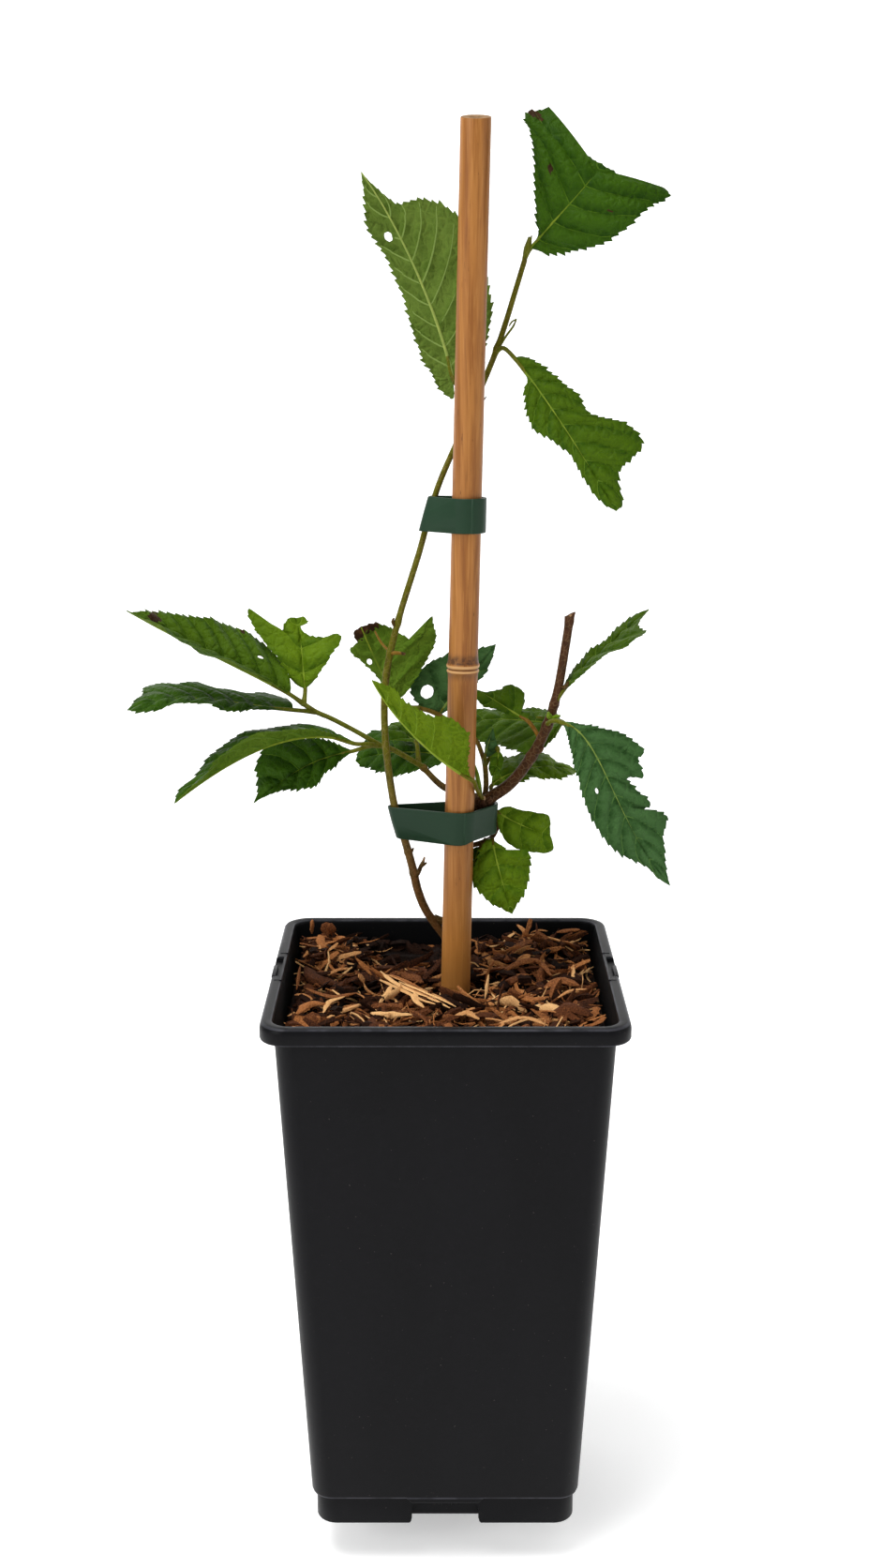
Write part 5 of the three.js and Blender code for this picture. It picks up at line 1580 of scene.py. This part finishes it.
@dataclass
class Tie:
    """A flat plastic band drawn round the cane and the stems, with its end lapped over on the right."""

    node: str
    piece: str
    foot: float
    head: float
    stems: tuple[str, ...]
    cane: BambooCane
    gap: float = 0.6
    thickness: float = 0.8
    edge: float = 0.22
    uprights: tuple[Point, ...] = ()
    lap: float = 0.55
    foot_rise: float = 0.0
    directions: int = 180

    def _sections(self, level: float) -> list[Point]:
        """The round sections that the band is drawn over: x, y and radius.

        Args:
            level: the height of the cut.

        Returns:
            The sections.
        """
        found = [self.cane.at(level)]
        for name in self.stems:
            path, radii = centripetal(STEMS[name].rows, 40)
            near = int(np.argmin(np.abs(path[:, 2] - level)))
            rise = abs(unit(np.gradient(path, axis=0))[near][2])
            found.append((path[near, 0], path[near, 1], radii[near] / rise))
        return [*found, *self.uprights]

    def _hull(self, sections: list[Point], offset: Array, angles: Array) -> Array:
        """The band's line at one height, at each direction.

        Args:
            sections: what it is drawn over.
            offset: how far it stands off, at each direction.
            angles: the directions.

        Returns:
            Its x and y at each.
        """
        cos, sin = np.cos(angles), np.sin(angles)
        reach = np.array([x * cos + y * sin + radius for x, y, radius in sections])
        far = np.array(sections)[np.argmax(reach, axis=0)]
        out = far[:, 2] + offset
        return np.stack([far[:, 0] + out * cos, far[:, 1] + out * sin], axis=1)

    def build(self) -> None:
        """Makes the band in place of its node: a rounded flat section carried round the stems."""
        angles = round_angles(self.directions)
        lap = self.lap * smooth_step(np.cos(angles + 0.35), 0.55, 0.62)
        ledge = self.foot_rise * smooth_step(np.cos(angles + 0.2), 0.3, 1.0)
        edge, thick, middle = self.edge, self.thickness, math.inf
        section = (
            (0.0, edge), (edge, 0.0), (thick - edge, 0.0), (thick, edge), (thick, middle), (thick, -edge),
            (thick - edge, -0.001), (edge, -0.001), (0.0, -edge), (0.0, middle), (0.0, edge),
        )
        columns = []
        for out, up in section:
            if up == middle:
                level = np.full_like(angles, (self.foot + self.head) / 2)
            elif up < 0:
                level = np.full_like(angles, self.head + up)
            else:
                level = self.foot + up + ledge
            sections = self._sections(float(np.mean(level)))
            spread = self.gap + out + (lap if out > thick / 2 else 0 * lap)
            flat = self._hull(sections, spread, angles)
            columns.append(np.concatenate([flat, level[:, None]], axis=1))
        shape = Shape()
        shape.skin(np.stack(columns, axis=1))
        finish = PlasticFinish(
            "band_plastic", paint(28, 52, 35), paint(40, 66, 46), 0.42, dust=0.1, specular=0.16,
        )
        shape.piece(self.piece, [PALETTE.take(finish)], "tie", self.node)


# Pot and filling


@dataclass
class NurseryPot:
    """The tall square pot: a thin tapering body with a rolled rim, a stepped foot and four water notches."""

    rim_width: float = 150
    rim_corner: float = 11
    rim_skirt: float = 7.5
    rim_lip: float = 5.2
    height: float = 235
    body_top: float = 139
    body_foot: float = 116
    body_corner: float = 9
    wall: float = 1.6
    foot_width: float = 112
    foot_height: float = 13
    floor_top: float = 14.5
    notch_foot: float = 32
    notch_top: float = 29
    notch_height: float = 10.8
    notch_depth: float = 4
    channel_height: float = 2.2
    pad: float = 12
    drain_radius: float = 4
    drain_offset: float = 30
    clip_y: float = 3
    clip_length: float = 26
    corner_steps: int = 12

    @property
    def skirt_foot(self) -> float:
        """How high the rim's skirt starts."""
        return self.height - self.rim_skirt

    def inner_width(self, level: float) -> float:
        """How wide the pot is inside at a height."""
        rise = min((level - self.foot_height) / (self.skirt_foot - self.foot_height), 1)
        return self.body_foot + (self.body_top - self.body_foot) * rise - 2 * self.wall

    def ring(self, width: float, corner: float, level: float, share: float = 1.0) -> Array:
        """A rounded square at a height, closed with its first point.

        Args:
            width: its width over the flats.
            corner: the radius of its corners.
            level: its height.
            share: a factor on its points, for a ring further in.

        Returns:
            Its points.
        """
        flat = width / 2 - corner
        points = []
        for quarter in range(4):
            start = quarter * math.pi / 2
            middle_x = flat * math.copysign(1, math.cos(start + math.pi / 4))
            middle_y = flat * math.copysign(1, math.sin(start + math.pi / 4))
            for k in range(self.corner_steps + 1):
                angle = start + math.pi / 2 * k / self.corner_steps
                points.append((
                    (middle_x + corner * math.cos(angle)) * share,
                    (middle_y + corner * math.sin(angle)) * share,
                    level,
                ))
        return np.array([*points, points[0]])

    def _profile(self) -> list[Point]:
        """The pot's section from the middle of its underside over the rim to the middle of its floor.

        Returns:
            Rows of width, corner radius and height.
        """
        foot, body, rim = self.foot_width, self.body_foot, self.rim_width
        skirt, top, lip = self.skirt_foot, self.height, self.rim_width - 2 * self.rim_lip
        corner, rim_corner = self.body_corner, self.rim_corner
        inside = corner - self.wall
        return [
            (foot - 1.6, corner - 0.8, 0), (foot - 0.5, corner - 0.25, 0.25), (foot, corner, 0.8),
            (foot, corner, self.foot_height - 0.4), (body - 2.6, corner, self.foot_height - 0.2),
            (body - 0.9, corner, self.foot_height + 0.3), (body, corner, self.foot_height + 1.8),
            (self.body_top, corner, skirt - 0.3), (self.body_top + 0.8, corner, skirt),
            (rim - 2.0, rim_corner, skirt), (rim - 0.6, rim_corner, skirt + 0.3),
            (rim, rim_corner, skirt + 1.1), (rim, rim_corner, top - 2.6),
            (rim - 0.5, rim_corner, top - 1.2), (rim - 1.8, rim_corner, top - 0.3),
            (rim - 3.6, rim_corner, top), (lip + 2.4, rim_corner - 3, top),
            (lip + 0.8, rim_corner - 3, top - 0.4), (lip, rim_corner - 3, top - 1.6),
            (self.inner_width(skirt), inside, skirt - 3),
            (self.inner_width(self.floor_top + 3), inside, self.floor_top + 3),
            (self.inner_width(self.floor_top) - 6, inside, self.floor_top),
        ]

    def build(self) -> None:
        """Makes the pot in place of its node, with its notches, drains and rim clips cut."""
        rows = [self.ring(*row) for row in self._profile()]
        centre = [np.zeros_like(rows[0]) + (0, 0, level) for level in (0, self.floor_top)]
        shape = Shape()
        # From the lip inward the faces take the second material: the inside painted near black as shade.
        lip_row = len(rows) - 3
        shape.skin(np.array([centre[0], *rows, centre[1]]), lambda row, column: int(row >= lip_row))
        # Painted highlight lines: under the rim's skirt, along the rim's top edge and on the body's step over
        # the foot.
        highlight_levels = (self.skirt_foot + 0.35, self.height - 0.5, self.foot_height + 0.6)
        finish = PlasticFinish(
            "pot_plastic", paint(11, 11, 13), paint(18, 18, 21), 0.4, dust=0.3, specular=0.09, highlight_levels=highlight_levels,
        )
        plastic = PALETTE.take(finish)
        # Painted shade: the inner wall and floor are near black, as the inside of the pot lies in shadow.
        shade = PlasticFinish("pot_inside_painted_shade", paint(6, 6, 7), paint(10, 10, 11), 0.6, dust=0.5, specular=0.05)
        made = shape.piece("nursery_pot", [plastic, PALETTE.take(shade)], "pot", "pot")
        cutters = []
        for quarter in range(4):
            turn = Matrix.Rotation(quarter * math.pi / 2, 4, "Z")
            cutters += [self._mouth(turn), self._channel(turn), self._drain(turn)]
        cutters += [self._slot(side) for side in (-1, 1)]
        cut_away(made, cutters)
        made.data.set_sharp_from_angle(angle=math.radians(34))
        details = Shape()
        self._tongues(details)
        details.piece("rim_tongues_and_bosses", [plastic], "pot")

    def _mouth(self, turn: Matrix) -> Object:
        """A water notch, with round corners at its top and a flare at the ground.

        Args:
            turn: to the side it is on.

        Returns:
            The cutter.
        """
        half, wide, top = self.notch_top / 2, self.notch_foot / 2, self.notch_height
        edge = [
            (wide, -1), (wide, 0), (half + 0.8, 0.5), (half + 0.3, 1.4), (half, 2.8), (half - 0.1, top - 3),
            (half - 0.7, top - 1.3), (half - 1.8, top - 0.3), (half - 3.2, top),
        ]
        line = [*edge, *[(-x, z) for x, z in reversed(edge)], edge[0]]
        front, back = -self.foot_width / 2 - 4, -self.foot_width / 2 + self.notch_depth
        rows = [[(x * share, y, 4 + (z - 4) * share) for x, z in line]
                for y, share in ((front, 0), (front, 1), (back, 1), (back, 0))]
        shape = Shape()
        shape.skin(np.array(rows, float))
        return cutter_from(shape.mesh, turn)

    def _channel(self, turn: Matrix) -> Object:
        """The shallow channel that runs in from a notch.

        Args:
            turn: to the side it is on.

        Returns:
            The cutter.
        """
        length = self.foot_width / 2 - self.pad
        mesh = bmesh.new()
        size = Matrix.Diagonal((self.notch_top, length, 2 * self.channel_height, 1))
        bmesh.ops.create_cube(mesh, size=1, matrix=Matrix.Translation((0, -self.pad - length / 2, 0)) @ size)
        return cutter_from(mesh, turn)

    def _drain(self, turn: Matrix) -> Object:
        """A drain hole through the floor.

        Args:
            turn: to the side it is on.

        Returns:
            The cutter.
        """
        mesh = bmesh.new()
        bmesh.ops.create_cone(
            mesh, cap_ends=True, segments=32, radius1=self.drain_radius, radius2=self.drain_radius,
            depth=3 * self.floor_top, matrix=Matrix.Translation((0, -self.drain_offset, 0)),
        )
        return cutter_from(mesh, turn)

    def _slot(self, side: int) -> Object:
        """The slot in the rim that a carrying clip locks into.

        Args:
            side: -1 on the left, 1 on the right.

        Returns:
            The cutter.
        """
        mesh = bmesh.new()
        middle = side * (self.rim_width / 2 - 1.6)
        size = Matrix.Diagonal((4.4, self.clip_length, 4.2, 1))
        place = Matrix.Translation((middle, self.clip_y, self.height))
        bmesh.ops.create_cube(mesh, size=1, matrix=place @ size)
        soften(mesh, list(mesh.edges), 0.6, 2)
        return cutter_from(mesh, Matrix.Identity(4))

    def _tongues(self, shape: Shape) -> None:
        """Adds what stands in the recesses: a tongue in each rim slot, ribs beside it and a notch's boss.

        Args:
            shape: the piece that they join.
        """
        for side in (-1, 1):
            x = side * (self.rim_width / 2 - 0.9)
            self._block(shape, (x, self.clip_y - 3, self.height - 2.3), (1.9, self.clip_length - 12, 2.8))
            x = side * (self.rim_width / 2 - 3.4)
            for y in (-1, 1):
                middle = self.clip_y + y * (self.clip_length / 2 + 5)
                self._block(shape, (x, middle, self.height - 0.2), (3.6, 1.1, 0.8))
        for quarter in range(4):
            turn = Matrix.Rotation(quarter * math.pi / 2, 4, "Z")
            place = Matrix.Translation((0, -self.foot_width / 2 + self.notch_depth, 7.4))
            matrix = turn @ place @ Matrix.Rotation(math.pi / 2, 4, "X")
            for radius, depth in ((2.9, 1.2), (1.9, 1.9)):
                bmesh.ops.create_cone(
                    shape.mesh, cap_ends=True, segments=24, radius1=radius, radius2=radius - 0.25,
                    depth=depth, matrix=matrix,
                )
            self._apron(shape, turn)

    def _apron(self, shape: Shape, turn: Matrix) -> None:
        """Adds the piece of the body's edge that dips over a notch.

        Args:
            shape: the piece that it joins.
            turn: to the side it is on.
        """
        made = bmesh.ops.create_cube(shape.mesh, size=1)["verts"]
        for vert in made:
            high = vert.co.z > 0
            vert.co = turn @ Vector((
                vert.co.x * (self.notch_top + (6 if high else 0)),
                -self.body_foot / 2 + (2.4 if vert.co.y > 0 else 0.15),
                self.foot_height + (1.2 if high else -1.9),
            ))
        soften(shape.mesh, list({edge for vert in made for edge in vert.link_edges}), 0.45, 3)

    def _block(self, shape: Shape, middle: Point, size: Point) -> None:
        """Adds a small block with soft edges.

        Args:
            shape: the piece that it joins.
            middle: its middle.
            size: its three sizes.
        """
        made = bmesh.ops.create_cube(
            shape.mesh, size=1, matrix=Matrix.Translation(middle) @ Matrix.Diagonal((*size, 1)),
        )["verts"]
        soften(shape.mesh, list({edge for vert in made for edge in vert.link_edges}), 0.3, 2)


class Chip(Enum):
    """The kinds of bark in the mulch.

    Length, width, share of thickness and shade, each from and to, and how many rows it has.
    """

    CHUNK = ((6, 15), (3.2, 6.6), (0.4, 0.75), (0.0, 0.5), 6)
    SHRED = ((10, 28), (1.4, 4.2), (0.18, 0.42), (0.1, 0.78), 9)
    SPLINTER = ((6, 22), (0.5, 1.4), (0.5, 0.9), (0.5, 1.15), 6)
    CRUMB = ((1.2, 3.6), (1.0, 2.8), (0.6, 1.0), (0.0, 0.3), 4)


# The larger pieces of bark, each with its shade, its width and the line that it lies along.
STRANDS: tuple[tuple[float, float, tuple[Point, ...]], ...] = (
    (0.98, 2.6, ((-28.4, 9, 230.6), (-23, -3, 230.4), (-15, -13, 229.8), (-7, -20, 229), (2, -30, 227.8))),
    (0.78, 2.2, ((-26.4, 6, 230.2), (-20.5, -1, 230.8), (-13, -10, 230), (-4, -18.4, 229),
                 (3.4, -26.6, 228))),
    (0.9, 2.3, ((-30, 3, 229.4), (-24.4, -6, 230), (-17, -15, 229.6), (-11, -21.6, 228.8), (-4, -26, 228))),
    (0.6, 1.6, ((-24, 4, 231), (-18, -4, 231.2), (-11, -12, 230.6))),
    (1.0, 1.5, ((-20, -7, 231.4), (-12, -15, 230.8), (-3, -23.4, 229.8), (4.6, -29.6, 228.2))),
    (0.95, 3.4, ((-19, -6, 230.4), (-20, -13, 229.6), (-25, -19, 228.8), (-28, -25, 228))),
    (0.92, 2.8, ((-12, -14, 229.8), (-13, -22, 229), (-9, -30, 228))),
    (0.95, 4.6, ((-31, -36, 227.8), (-23, -40, 228.6), (-14, -38, 227.8))),
    (0.9, 2.4, ((-28, -25, 228), (-25, -18, 230), (-23, -12, 231.6))),
    (0.95, 3.6, ((19, 0, 232), (18, -8, 229.8), (17, -18, 227.6))),
    (0.98, 5.6, ((36, -29, 227.6), (43, -32, 229), (50, -35, 227.8))),
    (0.9, 4.2, ((21, -25, 228), (28, -26, 229.4), (34, -34, 227.6))),
    (0.72, 2.2, ((-54, 7, 228), (-47, 17, 228.6), (-41, 19, 228.4))),
    (0.9, 1.7, ((-50, 29, 229), (-45, 26, 228.8), (-40, 25, 228.2))),
    (0.55, 3.0, ((-54, 48, 230), (-51, 39, 229), (-47, 28, 228.4))),
    (0.62, 4.8, ((-58, 53, 233), (-56, 42, 232), (-54, 33, 230))),
    (0.7, 1.8, ((-64, 31, 229.5), (-62, 36, 230.5), (-60, 44, 231.5))),
    (0.3, 7.0, ((-62, 18, 229.5), (-56, 4, 228.5), (-46, -1, 227.8))),
    (0.5, 3.2, ((-60, -8, 228.6), (-48, -17, 228), (-38, -13, 228.4))),
    (0.9, 2.6, ((-51, -35, 227.5), (-49, -24, 228.4), (-43, -17, 228.2))),
    (0.82, 2.8, ((-50, -43, 227.6), (-42, -33, 228), (-34, -26, 228.4))),
    (0.5, 3.4, ((-64, -10, 229), (-64, 2, 230.4), (-64, 13, 231.4))),
    (0.55, 5.6, ((-62, 61, 231), (-62, 62, 234), (-61.5, 60, 237.5))),
    (0.42, 7.5, ((-56, 60, 231), (-54, 60, 233.6), (-51, 58, 235))),
    (0.5, 1.8, ((-28, 63, 221), (-22, 64, 222), (-16, 64, 222))),
    (0.6, 4.2, ((-12, 62, 221), (-8, 63, 222.6), (-3, 63, 223))),
    (0.92, 1.8, ((27, 55, 229), (30, 58, 230.6), (33, 62, 231.6))),
    (0.85, 1.9, ((34, 54, 230), (40, 55, 230.8), (46, 54, 230))),
    (0.7, 1.8, ((40, 61, 231.6), (44, 62, 232.4), (48, 62, 232))),
    (0.9, 1.9, ((55, 46, 230), (59, 50, 230.8), (63, 54, 231))),
    (0.78, 1.5, ((47, 57, 231), (52, 52, 231), (57, 47, 230))),
    (0.7, 4.8, ((31, 20, 228), (35, 27, 230), (38, 33, 231))),
    (0.9, 1.5, ((54, -5, 227.4), (56, 5, 229), (57, 14, 231))),
    (0.85, 1.4, ((59, -6, 227.6), (60, 0, 229.4), (60, 5, 231))),
    (0.5, 4.0, ((23, 12, 227.8), (33, 22, 230), (41, 25, 230), (47, 11, 227.8))),
    (0.6, 4.0, ((22, -15, 227.6), (28, -18, 229.6), (37, -23, 228.8), (44, -18, 228.4))),
    (0.5, 6.0, ((43, -5, 227.8), (50, -2, 230), (58, -5, 229))),
    (0.75, 2.0, ((48, -18, 228), (54, -13, 229.4), (61, -11, 229.4))),
    (0.45, 5.0, ((29, 36, 229.4), (36, 46, 230.8), (42, 53, 230.6))),
    (0.5, 4.0, ((52, 60, 232), (58, 61, 232.6), (63, 61, 233))),
    (0.8, 3.4, ((2, -42, 227.5), (9, -38, 228.6), (14, -43, 227.6))),
    (0.35, 7.4, ((44, -40, 227.6), (52, -36, 230), (60, -40, 228))),
    (0.6, 4.4, ((-62, -38, 228), (-57, -30, 229.4), (-50, -26, 228.2))),
    (0.8, 3.0, ((22, -48, 227.6), (32, -44, 228.8), (42, -50, 227.6))),
    (0.45, 6.6, ((-10, 4, 227), (-17, 15, 226.4), (-27, 22, 225.4))),
)


@dataclass
class BarkMulch:
    """The shredded bark on the compost: a rough bed, and thousands of chips that overlap on it.

    A bank is x, y, rise and spread, and the hollow is x, y and how far it reaches along each.
    """

    pot: NurseryPot
    cane: BambooCane
    soil_level: float = 214
    edge_level: float = 222
    gap: float = 0.3
    counts: dict[Chip, int] = field(default_factory=lambda: {
        Chip.CHUNK: 380, Chip.SHRED: 760, Chip.SPLINTER: 520, Chip.CRUMB: 1500,
    })
    banks: tuple[Row, ...] = (
        (-50, 44, 7, 22), (40, 46, 5, 26.5), (-15, 50, -4.6, 20),
    )
    hollow: Row = (-17, 52, 25, 17)

    def height(self, x: float, y: float) -> float:
        """How high the bed lies at a place.

        Args:
            x, y: the place.

        Returns:
            The height.
        """
        ripple = 1.6 * math.sin(x / 7.3 + 1) * math.cos(y / 6.1) + 1.1 * math.sin((x + y) / 4.7)
        banks = sum(
            rise * math.exp(-((x - at_x) ** 2 + (y - at_y) ** 2) / spread**2)
            for at_x, at_y, rise, spread in self.banks
        )
        return self.edge_level + ripple + banks

    def depth(self, x: float, y: float) -> float:
        """How far inside the hollow a place lies, where chips are painted darker as shade: 1 in its middle, 0
        on its edge.
        """
        at_x, at_y, wide, deep = self.hollow
        return 1 - ((x - at_x) / wide) ** 2 - ((y - at_y) / deep) ** 2

    def _bed(self) -> None:
        """Makes the bed under the chips: dark crumbs, painted near black as the shade in the gaps between the
        chips.
        """
        width = self.pot.inner_width(self.soil_level) - 2 * self.gap
        corner = self.pot.body_corner - self.pot.wall
        rings = [self.pot.ring(width, corner, self.soil_level, share) for share in (0.0, 1.0)]
        for share in np.linspace(1, 0, 60):
            ring = self.pot.ring(width, corner, 0, share)
            for point in ring:
                rough = 1.5 * noise.noise(Vector(point) * 0.42) + 1.2 * noise.noise(Vector(point) * 1.1)
                point[2] = max(self.height(point[0], point[1]) - 2.6 + rough, self.soil_level + 0.4)
            ring[-1] = ring[0]
            rings.append(ring)
        shape = Shape()
        # The bed is painted near black: partly dark crumbs, partly painted shade in the gaps between the
        # chips.
        shape.skin(np.array(rings), shade=-0.05)
        finish = PALETTE.take(ShredFinish("mulch_bed_skin"))
        shape.piece("mulch_bed", [finish], "bark_mulch", "bark_mulch")

    def _lie(self, kind: Chip) -> tuple[Array, float] | None:
        """The line and the width of a chip, or None where it would meet the cane or the hollow.

        Args:
            kind: what it is.

        Returns:
            The line and the width.
        """
        (short, long), (thin, wide), _, _, rows = kind.value
        length, width = CHANCE.uniform(short, long), CHANCE.uniform(thin, wide)
        x, y = [CHANCE.uniform(-65, 65) for _ in range(2)]
        if kind is Chip.CRUMB and CHANCE.random() < 0.4:
            x, y = [self.hollow[k] + CHANCE.uniform(-1, 1) * self.hollow[k + 2] for k in (0, 1)]
        heading, tilt = CHANCE.uniform(0, 2 * math.pi), CHANCE.gauss(0, 0.34)
        bend, sag = CHANCE.gauss(0, 0.5), CHANCE.uniform(-0.25, 0.5)
        rest = (CHANCE.uniform(-2.8, 0.6) if kind is Chip.CRUMB else CHANCE.uniform(-0.8, 3.8)) + width * 0.2
        path = []
        for share in np.linspace(-0.5, 0.5, rows):
            turn = heading + bend * share * 2
            px = x + share * length * math.cos(turn)
            py = y + share * length * math.sin(turn)
            rise = share * length * math.sin(tilt) - sag * length * share**2
            path.append((px, py, self.height(px, py) * 0.5 + self.height(x, y) * 0.5 + rest + rise))
        line = np.array(path)
        limit = self.pot.inner_width(225) / 2 - 0.5 - width * 0.55
        for k in (0, 1):
            line[:, k] -= max(line[:, k].max() - limit, 0) + min(line[:, k].min() + limit, 0)
        cane_x, cane_y, radius = self.cane.at(225)
        away = np.hypot(line[:, 0] - cane_x, line[:, 1] - cane_y).min()
        if away < radius + width / 2 + 0.2:
            return None
        if kind in (Chip.SHRED, Chip.SPLINTER) and self.depth(x, y) > CHANCE.uniform(-0.1, 0.8):
            return None
        return line, width

    def _chip(self, shape: Shape, kind: Chip, line: Array, width: float, shade: float) -> None:
        """Adds one chip: a flattened, uneven, tapering sliver.

        Args:
            shape: the piece that it joins.
            kind: what it is.
            line: its middle line.
            width: its width.
            shade: 0 for near black to 1 for pale wood.
        """
        _, _, (flat_low, flat_high), _, rows = kind.value
        taper = np.array([CHANCE.uniform(0.3, 0.8), *[CHANCE.uniform(0.75, 1.1) for _ in range(rows - 2)],
                          CHANCE.uniform(0.1, 0.7)])
        sides = 5
        uneven = np.array([[CHANCE.uniform(0.75, 1.2) for _ in range(sides)] for _ in range(rows)])
        radii = width / 2 * taper[:, None] * np.concatenate([uneven, uneven[:, :1]], axis=1)
        shape.tube(line, radii, sides, flat=CHANCE.uniform(flat_low, flat_high), shade=shade)

    def _strands(self, finish: Material) -> None:
        """Makes the larger pieces, which lie on top: split, uneven and thinning to their ends.

        Args:
            finish: their material.
        """
        shape = Shape()
        for shade, width, rows in STRANDS:
            path, _ = centripetal(rows, 5)
            share = np.linspace(0, 1, len(path))
            taper = 1 - 0.75 * np.abs(2 * share - 1) ** 2.5
            sides = 9
            start = CHANCE.uniform(0, 90)
            uneven = np.array([
                [1 + 0.5 * noise.noise(Vector((start + 2.6 * k / sides * 2, step * 0.45, 0)))
                 for k in range(sides)] for step in range(len(path))
            ])
            radii = width / 2 * taper[:, None] * np.concatenate([uneven, uneven[:, :1]], axis=1)
            shape.tube(path, radii, sides, flat=CHANCE.uniform(0.3, 0.5), shade=shade)
        shape.piece("bark_strands", [finish], "bark_mulch")

    def build(self) -> None:
        """Makes the bed and, each kind apart, the chips."""
        self._bed()
        finish = PALETTE.take(ShredFinish("bark_chip_skin"))
        for kind in Chip:
            shape = Shape()
            low, high = kind.value[3]
            laid = 0
            while laid < self.counts[kind]:
                place = self._lie(kind)
                if place is None:
                    continue
                shade = low + (high - low) * CHANCE.random() ** 1.3
                # Painted shade: chips in and near the hollow are made much darker.
                if self.depth(*place[0][0][:2]) > -0.2:
                    shade *= 0.25
                self._chip(shape, kind, *place, shade)
                laid += 1
            shape.piece(f"bark_{kind.name.lower()}s", [finish], "bark_mulch")
        self._strands(finish)


@dataclass(frozen=True)
class Studio:
    """The plain pale floor, the soft lights and the camera."""

    focal_pixels: float = 2049
    image_height: float = 1672
    sensor: float = 36
    camera_place: Point = (-1.8, -793.7, 508)
    camera_pitch: float = 76.5
    half_floor: float = 3.5
    sweep: tuple[Pair, ...] = (
        (-2400, 0), (1100, 0), (1500, 60), (1800, 260), (2000, 640), (2060, 1200), (2080, 4200),
    )

    def build(self) -> None:
        """Makes the whole setting."""
        self._floor()
        self._world()
        self._light("overhead_softbox", (-0.7, -0.6, 3.1), (0, 0, 0.3), 1.5, 62)
        self._light("front_left_softbox", (-2.4, -2.2, 1.7), (0, 0, 0.35), 1.4, 44)
        self._light("right_fill", (2.8, -1.2, 1.2), (0, 0, 0.35), 1.6, 12)
        self._camera()

    def _floor(self) -> None:
        """A floor that curves up behind the plant."""
        mesh = bmesh.new()
        line, _ = centripetal([(0, y, z) for y, z in self.sweep], 8)
        made = bmesh.ops.create_grid(mesh, x_segments=1, y_segments=len(line) - 1, size=1.0)["verts"]
        for vert in made:
            row = round((vert.co.y + 1) / 2 * (len(line) - 1))
            vert.co = (vert.co.x * self.half_floor, line[row][1] * METRES, line[row][2] * METRES)
        bmesh.ops.recalc_face_normals(mesh, faces=mesh.faces)
        for face in mesh.faces:
            face.smooth = True
        floor = object_of(mesh, "pale_floor")
        floor.data.materials.append(WallFinish((0.9, 0.9, 0.9, 1.0)).make())

    def _world(self) -> None:
        """A white sky."""
        world = bpy.data.worlds.new("white_sky")
        world.use_nodes = True
        sky = next(node for node in world.node_tree.nodes if node.type == "BACKGROUND")
        sky.inputs["Color"].default_value = (1.0, 1.0, 1.0, 1.0)
        sky.inputs["Strength"].default_value = 0.35
        bpy.context.scene.world = world
        bpy.context.scene.view_settings.view_transform = "Standard"

    def _light(self, name: str, place: Point, aim: Point, size: float, power: float) -> None:
        """One square soft light, turned to the plant.

        Args:
            name: its name.
            place: where it hangs, in metres.
            aim: what it points at.
            size: its side.
            power: in watts.
        """
        lamp = bpy.data.lights.new(name, "AREA")
        lamp.shape = "SQUARE"
        lamp.size = size
        lamp.energy = power
        made = bpy.data.objects.new(name, lamp)
        made.location = place
        made.rotation_euler = (Vector(aim) - Vector(place)).to_track_quat("-Z", "Y").to_euler()
        bpy.context.scene.collection.objects.link(made)

    def _camera(self) -> None:
        """The photograph's view."""
        lens = bpy.data.cameras.new("camera")
        lens.sensor_width = self.sensor
        lens.lens = self.focal_pixels / self.image_height * self.sensor
        lens.clip_start = 0.01
        made = bpy.data.objects.new("camera", lens)
        made.location = [value * METRES for value in self.camera_place]
        made.rotation_euler = (math.radians(self.camera_pitch), 0, 0)
        bpy.context.scene.collection.objects.link(made)
        bpy.context.scene.camera = made


def main() -> None:
    """Builds the plant, its pot and the setting, piece by piece."""
    logging.basicConfig(level=logging.INFO, format="%(name)s %(message)s")
    noise.seed_set(SEED)
    Studio().build()
    pot = NurseryPot()
    pot.build()
    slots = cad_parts["compost"].data.materials
    slots.clear()
    slots.append(PALETTE.take(ShredFinish("compost_skin")))
    cane = BambooCane()
    cane.build()
    Tie(
        "lower_tie", "lower_band", 292.2, 306.6, ("leader", "trunk"), cane,
        uprights=((16.4, 9.4, 3.8),), foot_rise=1.6,
    ).build()
    Tie("upper_tie", "upper_band", 424.6, 438.8, ("leader",), cane).build()
    for node, stem in STEMS.items():
        stem.build(node)
    CutEnd().build()
    build_growths()
    for name, mass in MASSES.items():
        mass.build(name)
    BarkMulch(pot, cane).build()


if __name__ == "__main__":
    main()
